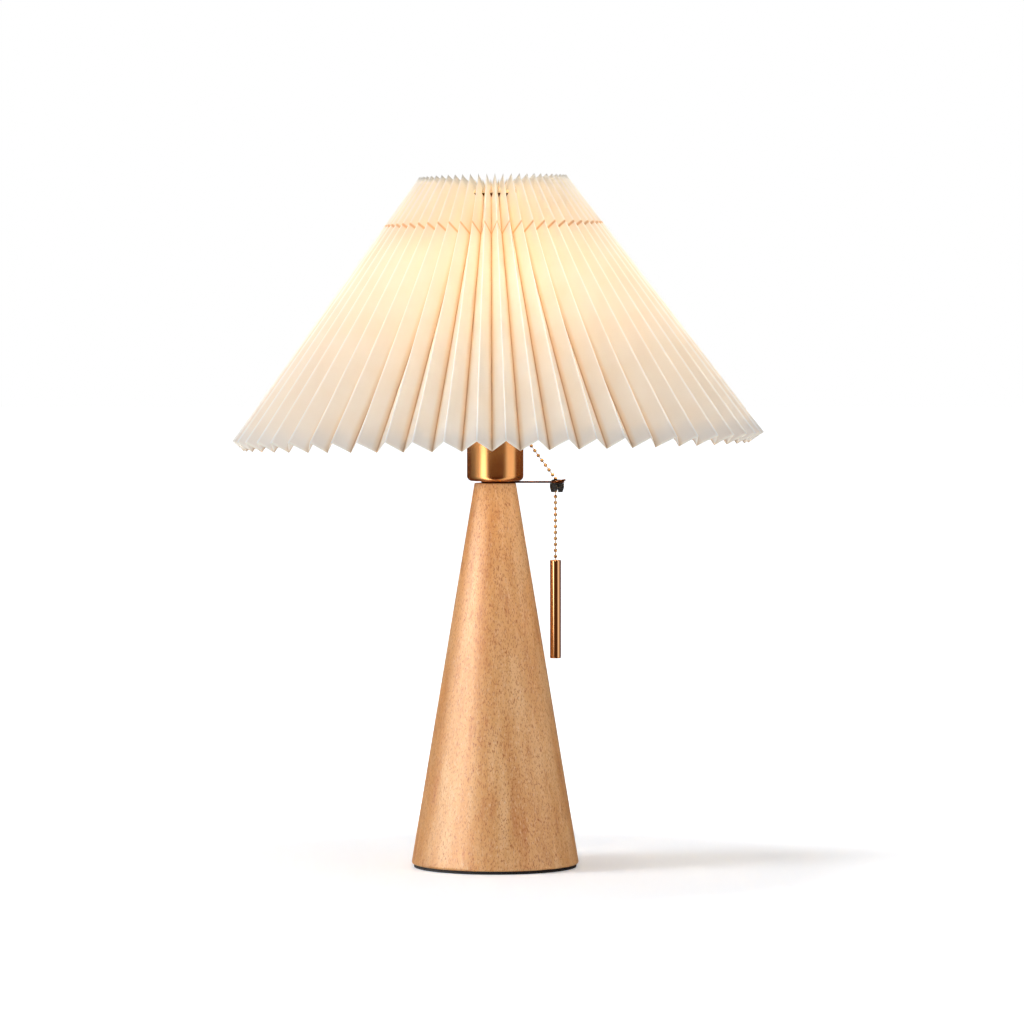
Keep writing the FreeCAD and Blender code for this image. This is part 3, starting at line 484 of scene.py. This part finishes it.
@dataclass(frozen=True)
class PleatedPaper:
    """Translucent laid paper that lets the bulb's light through; a veil stands for the
    second layer, which lets most light straight through.

    The sheet stores two numbers on its points: fold goes from 0 in a valley to 1 on a
    mountain, and down from 0 at the upper edge to 1 at the lower one. Across the folds it
    carries painted shade in the valleys and a painted highlight on the creases, and its
    emission gives a painted glow at the creases, the cut edge and the doubled stretch.
    """
    # Places across a fold of the painted valley shade, the painted shade beside it, the plain
    # paper and the painted crease highlight
    FOLD_LEVELS: ClassVar = (0.0, 0.07, 0.3, 0.9, 1.0)
    name: str = "pleated_paper"
    colour: Colour = (252, 247, 240)
    # Painted highlight on the mountain creases, then painted shade beside the valleys, a tone
    # that the cloudy patches share
    painted_crease_highlight: Colour = (255, 255, 255)
    patch_and_fold_shade: Colour = (245, 229, 208)
    # Painted shade in the valleys
    valley: Colour = (216, 182, 146)
    glue: Colour = (230, 190, 140)
    # Tone of the painted glow that the paper, which is no lamp, gives out
    warm: Colour = (255, 249, 226)
    through: float = 0.40
    veil: float = 0.0
    veil_tint: Colour = (255, 252, 246)
    laid_lines: float = 1100.0
    clouds: float = 45.0
    cloud_levels: Pair = (0.35, 0.7)
    cloud_strength: float = 0.18
    glue_line: float = HEM_WIDTH / FOLD_LENGTH
    glue_width: float = 0.006
    glue_core: float = 0.3
    glue_strength: float = 0.7
    # Where the painted highlight on the crease and on the cut edge begins and is full, in fold
    # and in down
    painted_crease_levels: Pair = (0.95, 0.99)
    painted_cut_levels: Pair = (0.992, 0.997)
    painted_cut_glow: float = 0.5
    # The painted glow of the doubled stretch at the upper edge and at its glue line
    painted_hem_glow: Pair = (0.52, 0.18)
    # How strong the painted glow is
    glow: float = 0.3
    roughness: float = 0.75
    gloss: float = 0.3
    relief: float = 0.18
    depth: float = 0.06 * MM

    def build(self) -> Material:
        """Make the material.

        Returns:
            The finished material.
        """
        shader = Shader(self.name)
        streaks, clouds = shader.wear(shader.place, self.laid_lines, self.clouds)
        fold = shader.attribute("fold")
        down = shader.attribute("down")
        body = self._colour(shader, fold, down, clouds)
        shader.base(body)
        # The paper glows with painted light at the creases, the cut edge and the doubled stretch
        painted_light = self._painted_light(shader, fold, down)
        shader.link(shader.ramp(painted_light, [(0.0, BLACK), (1.0, linear(*self.warm))]),
                    shader.surface.inputs["Emission Color"])
        shader.set(Roughness=self.roughness, Specular_IOR_Level=self.gloss,
                   Emission_Strength=self.glow)
        shader.bump(streaks, self.relief, self.depth)
        if self.veil:
            thin = shader.node("ShaderNodeBsdfTransparent")
            thin.inputs["Color"].default_value = linear(*self.veil_tint)
        else:
            thin = shader.node("ShaderNodeBsdfTranslucent")
            shader.link(body, thin.inputs["Color"])
        mixed = shader.mix(self.veil or self.through, shader.surface.outputs["BSDF"],
                           thin.outputs["BSDF"])
        shader.link(mixed, shader.output.inputs["Surface"])
        return shader.material

    def _colour(self, shader: Shader, fold: Socket, down: Socket, clouds: Socket) -> Socket:
        """Colour the paper: painted shade in and beside the valleys, a painted highlight on the
        mountain creases, cloudy patches and the glue line.

        Args:
            shader: the material's nodes.
            fold: the stored number across a fold.
            down: the stored number down a fold.
            clouds: the patches' noise.

        Returns:
            The paper's colour.
        """
        tones = (self.valley, self.patch_and_fold_shade, self.colour, self.colour, self.painted_crease_highlight)
        body = shader.ramp(fold, [(level, linear(*tone))
                                  for level, tone in zip(self.FOLD_LEVELS, tones)])
        patches = shader.range(clouds, *self.cloud_levels, 0.0, self.cloud_strength)
        body = shader.blend(patches, body, linear(*self.patch_and_fold_shade))
        off = shader.math("ABSOLUTE", shader.math("SUBTRACT", down, self.glue_line))
        line = shader.range(off, self.glue_width * self.glue_core, self.glue_width,
                            self.glue_strength, 0.0)
        return shader.blend(line, body, linear(*self.glue))

    def _painted_light(self, shader: Shader, fold: Socket, down: Socket) -> Socket:
        """Find where painted light goes on the paper: a painted highlight on the creases and the
        cut edge, and a painted glow on the doubled stretch.

        Args:
            shader: the material's nodes.
            fold: the stored number across a fold.
            down: the stored number down a fold.

        Returns:
            How strong the painted light is, 0 to 1.
        """
        painted_crease = shader.range(fold, *self.painted_crease_levels, 0.0, 1.0)
        cut = shader.range(down, *self.painted_cut_levels, 0.0, self.painted_cut_glow)
        doubled = shader.range(down, 0.0, self.glue_line, *self.painted_hem_glow)
        doubled = shader.math("MULTIPLY", doubled,
                              shader.math("LESS_THAN", down, self.glue_line))
        return shader.math("MAXIMUM", shader.math("MAXIMUM", painted_crease, cut), doubled)


@dataclass(frozen=True)
class LitGlass:
    """Frosted bulb glass, glowing evenly."""
    name: str = "frosted_glass"
    colour: Colour = (255, 244, 226)
    glow: Tuple[float, float, float, float] = (1.0, 0.86, 0.58, 1.0)
    strength: float = 36.0
    clouds: float = 30.0
    roughness: float = 0.55

    def build(self) -> Material:
        """Make the material.

        Returns:
            The finished material.
        """
        shader = Shader(self.name)
        _, clouds = shader.wear(shader.place, clouds=self.clouds)
        shader.base(shader.ramp(clouds, list(zip(MIDDLE, (linear(*self.colour), WHITE)))))
        shader.set(Roughness=self.roughness, Emission_Strength=self.strength,
                   Emission_Color=self.glow)
        return shader.material


class Palette:
    """Every finish of the lamp, made once and kept by slot name."""

    FINISHES = (
        ("beech", Beech()),
        ("black_pad", Moulded("black_pad", (22, 20, 19), (10, 9, 9), 0.9, 1500.0)),
        ("iron", Moulded("iron", (58, 58, 60), (34, 33, 33), 0.7, 500.0, 0.3 * MM)),
        ("zinc_steel", BrushedMetal("zinc_steel", (205, 205, 208), (170, 170, 174), 0.35)),
        ("satin_brass", BrushedMetal("satin_brass", (228, 164, 104), (220, 152, 92), 0.22, 0.04,
                                     Axis.ROUND_Z, 0.004 * MM)),
        ("raw_brass", BrushedMetal("raw_brass", (232, 196, 128), (214, 174, 102), 0.25)),
        ("bronze_wire", BrushedMetal("bronze_wire", (112, 66, 42), (78, 42, 26), 0.32, 0.06,
                                     Axis.EVEN)),
        ("black_rubber", Moulded("black_rubber", (26, 20, 16), (12, 9, 7), 0.6, 700.0, 0.2 * MM)),
        ("chain_gold", BrushedMetal("chain_gold", (224, 190, 136), (188, 148, 96), 0.22, 0.08,
                                    Axis.EVEN)),
        ("bar_copper", BrushedMetal("bar_copper", (222, 172, 124), (208, 152, 102), 0.07, 0.02,
                                    Axis.ALONG_Z, 0.004 * MM)),
        ("ceramic_white", Moulded("ceramic_white", (240, 237, 230), (228, 223, 214), 0.35, 400.0,
                                  0.02 * MM, 0.3)),
        ("black_phenolic", Moulded("black_phenolic", (40, 34, 31), (26, 22, 20), 0.35, 500.0,
                                   0.02 * MM)),
        ("liner_card", Moulded("liner_card", (92, 74, 58), (70, 54, 42), 0.9, 900.0)),
        ("frosted_glass", LitGlass()),
        ("cap_metal", BrushedMetal("cap_metal", (214, 212, 206), (188, 186, 180), 0.28)),
        ("shade_paper", PleatedPaper()),
        ("hem_paper", PleatedPaper("hem_paper", veil=0.97, glow=0.0)),
        ("white_wire", Moulded("white_wire", (236, 232, 224), (222, 217, 208), 0.35, 800.0,
                               0.02 * MM, 0.2)),
        ("spring_steel", BrushedMetal("spring_steel", (190, 190, 194), (150, 150, 155), 0.3)),
    )

    def __init__(self) -> None:
        """Build every finish."""
        self.materials = {slot: finish.build() for slot, finish in self.FINISHES}

    def __getitem__(self, slot: str) -> Material:
        """The material of a slot."""
        return self.materials[slot]

    def dress_frame(self) -> None:
        """Put each CAD node's finish on it."""
        for row in frame["record"]["subparts"]:
            node = frame["nodes"][row["node"]]
            node.data.materials.clear()
            node.data.materials.append(self[row["material_slot"]])


# ---------------- pieces
class Piece:
    """One new mesh piece: a bmesh that becomes an object on a body."""

    # Points nearer than this become one, in metres
    MERGE: ClassVar[float] = 1e-7

    def __init__(self, name: str, slot: str, body: str, replaced: Sequence[str] = (),
                 look: str = "") -> None:
        """Start an empty piece.

        Args:
            name: the object's name.
            slot: the material slot it takes its finish from.
            body: the body it rides on.
            replaced: the CAD nodes that it stands for.
            look: a finish of its own within that slot, if it has one.
        """
        self.look = look or slot
        self.name = name
        self.slot = slot
        self.body = body
        self.replaced = tuple(replaced)
        self.mesh = bmesh.new()

    def spin(self, outline: Sequence[Pair], steps: int, centre: Vector, turn: Matrix) -> None:
        """Spin an outline of (radius, height) points that ends on the axis into a solid.

        Args:
            outline: the profile, in metres.
            steps: how many segments go round.
            centre: where the solid's middle stands.
            turn: the rotation of the solid about its middle.
        """
        points = [self.mesh.verts.new((radius, 0.0, height)) for radius, height in outline]
        edges = [self.mesh.edges.new(pair) for pair in zip(points, points[1:])]
        made = bmesh.ops.spin(self.mesh, geom=points + edges, cent=(0, 0, 0), axis=(0, 0, 1),
                              angle=math.tau, steps=steps, use_merge=True)
        fresh = {item for item in made["geom_last"] if isinstance(item, bmesh.types.BMVert)}
        fresh.update(points)
        ring = self._linked(fresh)
        bmesh.ops.remove_doubles(self.mesh, verts=list(ring), dist=self.MERGE)
        ring = [vert for vert in ring if vert.is_valid]
        bmesh.ops.transform(self.mesh, matrix=turn, verts=ring)
        bmesh.ops.translate(self.mesh, vec=centre, verts=ring)

    @staticmethod
    def _linked(seeds: Iterable[bmesh.types.BMVert]) -> Set[bmesh.types.BMVert]:
        """Collect every vertex joined to the given ones by edges.

        Args:
            seeds: the vertices to start from.

        Returns:
            The joined vertices, the given ones among them.
        """
        found, queue = set(), list(seeds)
        while queue:
            vert = queue.pop()
            if vert in found:
                continue
            found.add(vert)
            queue.extend(edge.other_vert(vert) for edge in vert.link_edges)
        return found

    def finish(self, palette: Palette, smooth_angle: float) -> bpy.types.Object:
        """Close the piece: normals, object, finish, body and replaced nodes.

        Args:
            palette: the finishes.
            smooth_angle: edges sharper than this many degrees stay sharp.

        Returns:
            The finished object.
        """
        bmesh.ops.recalc_face_normals(self.mesh, faces=self.mesh.faces)
        for part in self.mesh.faces:
            part.smooth = True
        for edge in self.mesh.edges:
            if len(edge.link_faces) == 2:
                edge.smooth = edge.calc_face_angle() < math.radians(smooth_angle)
        data = bpy.data.meshes.new(self.name)
        self.mesh.to_mesh(data)
        self.mesh.free()
        data.materials.append(palette[self.look])
        made = bpy.data.objects.new(self.name, data)
        bpy.context.scene.collection.objects.link(made)
        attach(made, self.body)
        if self.replaced:
            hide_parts(*self.replaced)
        log.info("%s: %d faces on %s", self.name, len(data.polygons), self.body)
        return made


# ---------------- camera and studio
@dataclass(frozen=True)
class AreaLamp:
    """A round area lamp that looks at the space under the shade."""
    name: str
    place: Triple
    size: float
    power: float
    tone: Triple
    in_gloss: bool = False
    floor_alone: bool = False
    aim_height: float = 0.3

    def build(self, floor_only: bpy.types.Collection) -> None:
        """Make the lamp.

        Args:
            floor_only: the collection that holds nothing but the floor.
        """
        data = bpy.data.lights.new(self.name, "AREA")
        data.shape = "DISK"
        data.size = self.size
        data.energy = self.power
        data.color = self.tone
        lamp = bpy.data.objects.new(self.name, data)
        lamp.location = self.place
        aim = Vector((0, 0, self.aim_height)) - Vector(self.place)
        lamp.rotation_euler = aim.to_track_quat("-Z", "Y").to_euler()
        lamp.visible_glossy = self.in_gloss
        if self.floor_alone:
            lamp.light_linking.receiver_collection = floor_only
        bpy.context.scene.collection.objects.link(lamp)


@dataclass
class Studio:
    """Camera at the photograph's place, white surroundings and soft lamps."""
    # A soft key from the left front, a lamp for the floor and a fill from the right
    LAMPS: ClassVar = (
        AreaLamp("key", (-2.9, -1.1, 1.5), 1.3, 13.0, (1.0, 0.985, 0.96), in_gloss=True),
        AreaLamp("floor_key", (-3.0, -1.0, 1.1), 1.7, 84.0, (0.96, 0.98, 1.0),
                 floor_alone=True),
        AreaLamp("fill", (2.4, -2.2, 1.2), 2.0, 8.0, (1.0, 0.97, 0.94)),
    )
    # Directions in turns from the far side by way of the right, and how bright a panel is there
    PANELS: ClassVar = (
        (0.00, 0.30), (0.05, 0.10), (0.15, 0.07), (0.245, 0.10), (0.265, 1.25), (0.36, 1.25),
        (0.385, 0.30), (0.405, 0.05), (0.565, 0.05), (0.59, 0.30), (0.612, 4.0), (0.655, 4.0),
        (0.68, 1.0), (0.735, 0.60), (0.755, 0.28), (0.80, 0.25), (0.85, 0.06), (0.95, 0.08),
        (1.00, 0.30),
    )
    # A high soft box at the left, seen in the wood's lacquer
    SOFT_BOX: ClassVar = ((0.00, 0.3), (0.57, 0.3), (0.66, 12.0), (0.76, 12.0), (0.82, 0.3),
                          (1.00, 0.3))
    # Levels below this are gaps between the panels, which metal shows in a warm dark tone
    GAP_LEVEL: ClassVar[float] = 0.2
    GAP_TONE: ClassVar[Triple] = (2.0, 0.95, 0.45)
    PANEL_TONE: ClassVar[Triple] = (1.0, 1.0, 1.0)

    # The camera: rows and columns in the photograph's pixels, the rest in metres
    picture: float = 1024.0
    metres_per_pixel: float = 0.69 * MM
    distance: float = 3.346
    horizon_row: float = 357.0
    axis_column: float = 495.2
    ground_row: float = 866.0
    far_clip: float = 200.0
    # The sensor's width, in millimetres
    sensor: float = 36.0
    floor_size: float = 60.0
    floor_drop: float = 0.2 * MM
    floor_colour: Colour = (238, 243, 252)
    floor_roughness: float = 0.9
    # The floor's own glow by the lamp and far off, and between which distances it rises
    floor_glow: Pair = (0.14, 0.75)
    shadow_reach: Pair = (0.22, 0.44)
    world_light: float = 0.54
    # Upward parts of a direction between which the soft box takes over from the panels
    box_rise: Pair = (0.12, 0.26)

    def build(self) -> None:
        """Make the camera, the floor, the world and the lamps."""
        self._camera()
        floor_only = self._floor()
        self._world()
        for lamp in self.LAMPS:
            lamp.build(floor_only)

    def _camera(self) -> None:
        """Make the level camera, with its frame shifted down to the lamp."""
        data = bpy.data.cameras.new("camera")
        data.sensor_width = self.sensor
        focal_pixels = self.distance / self.metres_per_pixel
        data.lens = self.sensor * focal_pixels / self.picture
        half = self.picture / 2
        data.shift_y = -(half - self.horizon_row) / self.picture
        data.clip_end = self.far_clip
        made = bpy.data.objects.new("camera", data)
        across = (half - self.axis_column) * self.metres_per_pixel
        height = (self.ground_row - self.horizon_row) * self.metres_per_pixel
        made.location = (across, -self.distance, height)
        made.rotation_euler = (math.radians(90), 0, 0)
        bpy.context.scene.collection.objects.link(made)
        bpy.context.scene.camera = made

    def _floor(self) -> bpy.types.Collection:
        """Make a wide white floor that keeps the lamp's shadow.

        Returns:
            A collection that holds the floor alone, for the lamp that lights nothing else.
        """
        shape = bmesh.new()
        bmesh.ops.create_grid(shape, x_segments=2, y_segments=2, size=self.floor_size / 2)
        data = bpy.data.meshes.new("floor")
        shape.to_mesh(data)
        shape.free()
        floor = bpy.data.objects.new("floor", data)
        bpy.context.scene.collection.objects.link(floor)
        floor.location.z = -self.floor_drop
        floor.visible_glossy = False
        data.materials.append(self._floor_white())
        floor_only = bpy.data.collections.new("floor_only")
        floor_only.objects.link(floor)
        return floor_only

    def _floor_white(self) -> Material:
        """Make the floor's white, which glows to the eye beyond the shadow.

        Returns:
            The material.
        """
        shader = Shader("floor_white")
        shader.set(Base_Color=linear(*self.floor_colour), Roughness=self.floor_roughness,
                   Specular_IOR_Level=0.0)
        path = shader.node("ShaderNodeLightPath")
        seen = shader.math("MAXIMUM", path.outputs["Is Camera Ray"],
                           path.outputs["Is Glossy Ray"])
        seen = shader.math("MAXIMUM", seen, path.outputs["Is Transmission Ray"])
        length = shader.node("ShaderNodeVectorMath", operation="LENGTH")
        shader.link(shader.place, length.inputs[0])
        level = shader.range(length.outputs["Value"], *self.shadow_reach, *self.floor_glow)
        glow = shader.node("ShaderNodeEmission")
        shader.link(shader.math("MULTIPLY", seen, level), glow.inputs["Strength"])
        both = shader.node("ShaderNodeAddShader")
        shader.link(shader.surface.outputs["BSDF"], both.inputs[0])
        shader.link(glow.outputs["Emission"], both.inputs[1])
        shader.link(both.outputs["Shader"], shader.output.inputs["Surface"])
        return shader.material

    def _world(self) -> None:
        """Make it white to the eye, soft grey as light, with panels and gaps for metal."""
        world = bpy.data.worlds.new("studio")
        bpy.context.scene.world = world
        world.use_nodes = True
        nodes = Nodes(world.node_tree)
        path = nodes.node("ShaderNodeLightPath")
        light = self._background(nodes, self.world_light)
        white = self._background(nodes, 1.0)
        panels = self._background(nodes, 1.0)
        nodes.link(self._panels(nodes), panels.inputs["Color"])
        chosen = light.outputs[0]
        for ray, shown in (("Is Glossy Ray", panels), ("Is Transmission Ray", light),
                           ("Is Camera Ray", white)):
            chosen = nodes.mix(path.outputs[ray], chosen, shown.outputs[0])
        output = nodes.node("ShaderNodeOutputWorld")
        nodes.link(chosen, output.inputs["Surface"])

    @staticmethod
    def _background(nodes: Nodes, strength: float) -> bpy.types.Node:
        """Add a plain white background.

        Args:
            nodes: the world's nodes.
            strength: how bright it is.

        Returns:
            The background node.
        """
        made = nodes.node("ShaderNodeBackground")
        made.inputs["Color"].default_value = WHITE
        made.inputs["Strength"].default_value = strength
        return made

    def _panels(self, nodes: Nodes) -> Socket:
        """Add the panels of light and the gaps between them that metal shows.

        Args:
            nodes: the world's nodes.

        Returns:
            The panels' colour for a direction.
        """
        where = nodes.node("ShaderNodeTexCoord")
        split = nodes.node("ShaderNodeSeparateXYZ")
        nodes.link(where.outputs["Generated"], split.inputs["Vector"])
        angle = nodes.math("ARCTAN2", split.outputs["X"], split.outputs["Y"])
        turn = nodes.range(angle, -math.pi, math.pi, 0.0, 1.0)
        rise = nodes.range(split.outputs["Z"], *self.box_rise, 0.0, 1.0)
        return nodes.blend(rise, self._ring(nodes, turn, self.PANELS),
                           self._ring(nodes, turn, self.SOFT_BOX))

    def _ring(self, nodes: Nodes, turn: Socket, levels: Sequence[Pair]) -> Socket:
        """Add a ring of panels round the lamp.

        Args:
            nodes: the world's nodes.
            turn: the direction, in turns from behind the camera.
            levels: directions in turns from the far side, and how bright they are.

        Returns:
            The ring's colour.
        """
        stops = []
        # Half a turn lies between the far side and the place behind the camera
        for share, level in sorted(((share + 0.5) % 1.0, level) for share, level in levels):
            tone = self.GAP_TONE if level < self.GAP_LEVEL else self.PANEL_TONE
            stops.append((share, tuple(level * part for part in tone) + (1.0,)))
        return nodes.ramp(turn, stops)


# ---------------- pleated shade
@dataclass
class PleatedShade:
    """The folded paper cone with its doubled upper edge."""
    pleats: int = 56
    # Degrees from the front to the first mountain
    front_turn: float = 1.9
    top_radius: float = 50.8 * MM
    bottom_radius: float = 183.4 * MM
    panel_width: float = 15.1 * MM
    top_height: float = 476.05 * MM
    paper: float = 0.3 * MM
    # How far the second layer lies inside the outer face
    hem_depth: float = 0.4 * MM
    # The ring's notch: half its height, and how far it goes up from the valley fold
    notch_reach: float = 1.6 * MM
    notch_fold: float = 0.32
    # An even row nearer to a notch than this share of the fold is left out
    row_gap: float = 0.005
    rows: int = 14
    hem_rows: int = 4
    strips: int = 6
    smooth_angle: float = 25.0
    # Degrees that the shade leans to the left, and how far its ends stand from the axis
    lean: float = 1.0
    drift_top: float = -1.4 * MM
    drift_bottom: float = -0.8 * MM
    # Degrees that a fold's lower end strays, and how much deeper the valleys at the right are
    wander: float = 0.35
    deeper_right: float = 1.2 * MM
    seed: int = 7
    swing: List[float] = field(default_factory=list)

    def build(self, palette: Palette) -> None:
        """Make the paper and the layer inside its upper edge.

        Args:
            palette: the finishes.
        """
        source = random.Random(self.seed)
        self.swing = [source.uniform(-1.0, 1.0) for _ in range(2 * self.pleats)]
        self._sheet(Piece("shade_sheet", "shade_paper", "shade", ("shade_paper",)),
                    self._shares(1.0, self.rows), 0.0, palette)
        self._sheet(Piece("shade_hem_strip", "shade_paper", "shade", ("shade_hem",),
                          "hem_paper"),
                    self._shares(HEM_WIDTH / FOLD_LENGTH, self.hem_rows), self.hem_depth,
                    palette)

    @property
    def slope_angle(self) -> float:
        """Angle between the folds and the upright."""
        return math.asin((self.bottom_radius - self.top_radius) / FOLD_LENGTH)

    def _fold_end(self, index: int, at_bottom: bool, depth: float) -> Pair:
        """Work out the radius and height of a fold's end.

        Args:
            index: the fold, even for a mountain and odd for a valley.
            at_bottom: whether it is the lower end.
            depth: how far inside the outer face of the paper.

        Returns:
            The end's radius and height.
        """
        slope = math.tan(self.slope_angle)
        radius = self.bottom_radius if at_bottom else self.top_radius
        level = self.top_height - at_bottom * FOLD_LENGTH * math.cos(self.slope_angle)
        spread = math.tan(math.pi / self.pleats)
        # A panel of the stated width, square to the folds, reaches inward to the valley
        a = 1 + slope ** 2 + spread ** 2
        b = -2 * radius * spread ** 2
        c = (radius * spread) ** 2 - self.panel_width ** 2
        inward = (-b + math.sqrt(b * b - 4 * a * c)) / (2 * a)
        shift = depth * self.panel_width / ((radius - inward) * spread)
        if index % 2:
            radius = (radius - inward) / math.cos(math.pi / self.pleats)
            level -= inward * slope
        return (radius - shift * math.cos(self.slope_angle),
                level - shift * math.sin(self.slope_angle))

    def _shares(self, stop: float, rows: int) -> List[float]:
        """Place the sheet's rows down the folds, with a row each side of the notches.

        Args:
            stop: where the sheet ends, as a share of the fold.
            rows: how many even rows it has.

        Returns:
            The rows' shares, in order.
        """
        notch = self._notch_rows()
        even = [stop * row / rows for row in range(rows + 1)]
        return sorted(notch + [share for share in even if not
                               notch[0] - self.row_gap < share < notch[1] + self.row_gap])

    def _notch_rows(self) -> List[float]:
        """Find the rows above and below the wire ring, where it shows in the valleys.

        Returns:
            The two rows, as shares of a valley fold.
        """
        low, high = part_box("shade_ring")
        ring_height = (low[2] + high[2]) / 2
        top = self._fold_end(1, False, 0.0)[1]
        bottom = self._fold_end(1, True, 0.0)[1]
        return [(top - ring_height + side * self.notch_reach) / (top - bottom)
                for side in (-1, 1)]

    def _place(self, index: int, share: float, depth: float) -> Vector:
        """Find a point on a fold, with the sheet's drift and unevenness.

        Args:
            index: the fold, even for a mountain and odd for a valley.
            share: how far down the fold, from 0 at the top.
            depth: how far inside the outer face of the paper.

        Returns:
            The point, in metres.
        """
        start = Vector(self._fold_end(index, False, depth))
        reach, level = start.lerp(Vector(self._fold_end(index, True, depth)), share)
        turn = math.radians(360.0 * index / (2 * self.pleats) - 90.0 + self.front_turn
                            + self.swing[index] * self.wander * share * share)
        if index % 2:
            reach -= self.deeper_right * math.cos(turn) * share
        drift = self.drift_top + (self.drift_bottom - self.drift_top) * share
        return Vector((reach * math.cos(turn) + drift, reach * math.sin(turn), level))

    def _sheet(self, piece: Piece, shares: Sequence[float], depth: float,
               palette: Palette) -> None:
        """Fold one strip of paper into the pleated cone.

        Args:
            piece: the empty piece to fill.
            shares: the rows down the folds.
            depth: how far inside the outer face it lies.
            palette: the finishes.
        """
        mesh = piece.mesh
        fold_layer = mesh.verts.layers.float.new("fold")
        down_layer = mesh.verts.layers.float.new("down")
        made = bmesh.ops.create_circle(mesh, segments=2 * self.pleats, radius=1.0)
        rows = [self._in_turn(made["verts"])]
        across = set(mesh.edges)
        for _ in shares[1:]:
            edges = [edge for edge in mesh.edges if set(edge.verts) <= set(rows[-1])]
            grown = bmesh.ops.extrude_edge_only(mesh, edges=edges)["geom"]
            rows.append(self._in_turn(item for item in grown
                                      if isinstance(item, bmesh.types.BMVert)))
            across.update(item for item in grown if isinstance(item, bmesh.types.BMEdge)
                          and set(item.verts) <= set(rows[-1]))
        for share, verts in zip(shares, rows):
            for index, vert in enumerate(verts):
                vert.co = self._place(index, share, depth)
                vert[fold_layer] = 1.0 - index % 2
                vert[down_layer] = share
        bmesh.ops.subdivide_edges(mesh, edges=list(across), cuts=self.strips - 1,
                                  use_grid_fill=True)
        low, high = self._notch_rows()
        notches = []
        for part in mesh.faces:
            fold = sum(vert[fold_layer] for vert in part.verts) / len(part.verts)
            down = sum(vert[down_layer] for vert in part.verts) / len(part.verts)
            if fold < self.notch_fold and low < down < high:
                notches.append(part)
        bmesh.ops.delete(mesh, geom=notches, context="FACES")
        pivot = Vector((0, 0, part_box("shade_ring")[0][2]))
        bmesh.ops.rotate(mesh, verts=mesh.verts, cent=pivot,
                         matrix=Matrix.Rotation(math.radians(-self.lean), 3, "Y"))
        sheet = piece.finish(palette, self.smooth_angle)
        thick = sheet.modifiers.new("thickness", "SOLIDIFY")
        thick.thickness = self.paper
        thick.offset = -1.0

    @staticmethod
    def _in_turn(verts: Iterable[bmesh.types.BMVert]) -> List[bmesh.types.BMVert]:
        """Sort a ring of points round the axis."""
        return sorted(verts, key=lambda vert: math.atan2(vert.co.y, vert.co.x))


# ---------------- ball chain
@dataclass
class BallChain:
    """Hollow beads on short links: a run inside, a slanting run and a hanging run."""
    # Radii of a bead, its seam's groove and a link, and the distance from bead to bead
    bead: float = 1.25 * MM
    seam: float = 0.12 * MM
    link: float = 0.28 * MM
    pitch: float = 4.12 * MM
    # Where the chain leaves the holder and where it hangs from the eye
    mouth_reach: float = 20.0 * MM
    mouth_height: float = 296.5 * MM
    eye_reach: float = 41.6 * MM
    eye_height: float = 267.2 * MM
    inner_beads: int = 6
    slant_beads: int = 8
    # The part of the slanting run's first link that isn't inside the mouth
    slant_link: float = 0.6
    # The hanging run, from the top: piece, body, CAD node and beads
    HANGING: ClassVar = (("chain_in_grommet", "chain_in_eye", "guided_chain", 3),
                         ("chain_upper", "chain_top", "upper_chain", 4),
                         ("chain_middle", "chain_middle", "middle_chain", 4),
                         ("chain_lower", "chain_bottom", "lower_chain", 3),
                         ("chain_end", "bar_bead", "bar_bead", 1))
    bead_points: int = 10
    bead_steps: int = 16
    link_sides: int = 10
    smooth_angle: float = 50.0

    def build(self, palette: Palette) -> None:
        """Make every run on its own body.

        Args:
            palette: the finishes.
        """
        mouth = Vector((self.mouth_reach, 0, self.mouth_height))
        eye = Vector((self.eye_reach, 0, self.eye_height))
        slant = (eye - mouth).normalized()
        down = Vector((0, 0, -1))
        back = Vector((-1, 0, 0))
        self._run("chain_inside", "chain_in_holder", "inner_chain", mouth, back,
                  self.inner_beads, palette)
        self._run("chain_slant", "chain_to_eye", "diagonal_chain", mouth + slant * self.pitch,
                  slant, self.slant_beads, palette, link_before=self.slant_link)
        place = eye
        for name, body, node, beads in self.HANGING:
            before = 0.0 if place is eye else 1.0
            self._run(name, body, node, place, down, beads, palette, link_before=before)
            place = place + down * (self.pitch * beads)

    def _run(self, name: str, body: str, node: str, first: Vector, way: Vector, beads: int,
             palette: Palette, link_before: float = 0.0) -> None:
        """Make one straight run of beads.

        Args:
            name: the piece's name.
            body: the body it rides on.
            node: the CAD node it stands for.
            first: the first bead's centre.
            way: the direction of the run.
            beads: how many beads it has.
            palette: the finishes.
            link_before: how much of a link stands before the first bead.
        """
        piece = Piece(name, "chain_gold", body, (node,))
        turn = Vector((0, 0, 1)).rotation_difference(way).to_matrix().to_4x4()
        outline = [(self.bead * math.sin(math.pi * step / self.bead_points),
                    -self.bead * math.cos(math.pi * step / self.bead_points))
                   for step in range(self.bead_points + 1)]
        middle = self.bead_points // 2
        outline[middle:middle + 1] = [(self.bead, -self.seam), (self.bead - self.seam, 0.0),
                                      (self.bead, self.seam)]
        for index in range(beads):
            piece.spin(outline, self.bead_steps, first + way * (self.pitch * index), turn)
        start = first - way * (self.pitch * link_before)
        stop = first + way * (self.pitch * (beads - 1))
        length = (stop - start).length
        if length > self.bead:
            made = bmesh.ops.create_cone(piece.mesh, cap_ends=True, segments=self.link_sides,
                                         radius1=self.link, radius2=self.link, depth=length)
            bmesh.ops.transform(piece.mesh, verts=made["verts"],
                                matrix=Matrix.Translation((start + stop) / 2) @ turn)
        piece.finish(palette, self.smooth_angle)


# ---------------- main
def main() -> None:
    """Build the studio, then every sub-assembly in order."""
    logging.basicConfig(level=logging.INFO, format="%(message)s")
    bpy.context.scene.view_settings.view_transform = "Standard"
    Studio().build()
    palette = Palette()
    palette.dress_frame()
    PleatedShade().build(palette)
    BallChain().build(palette)


if __name__ == "__main__":
    main()
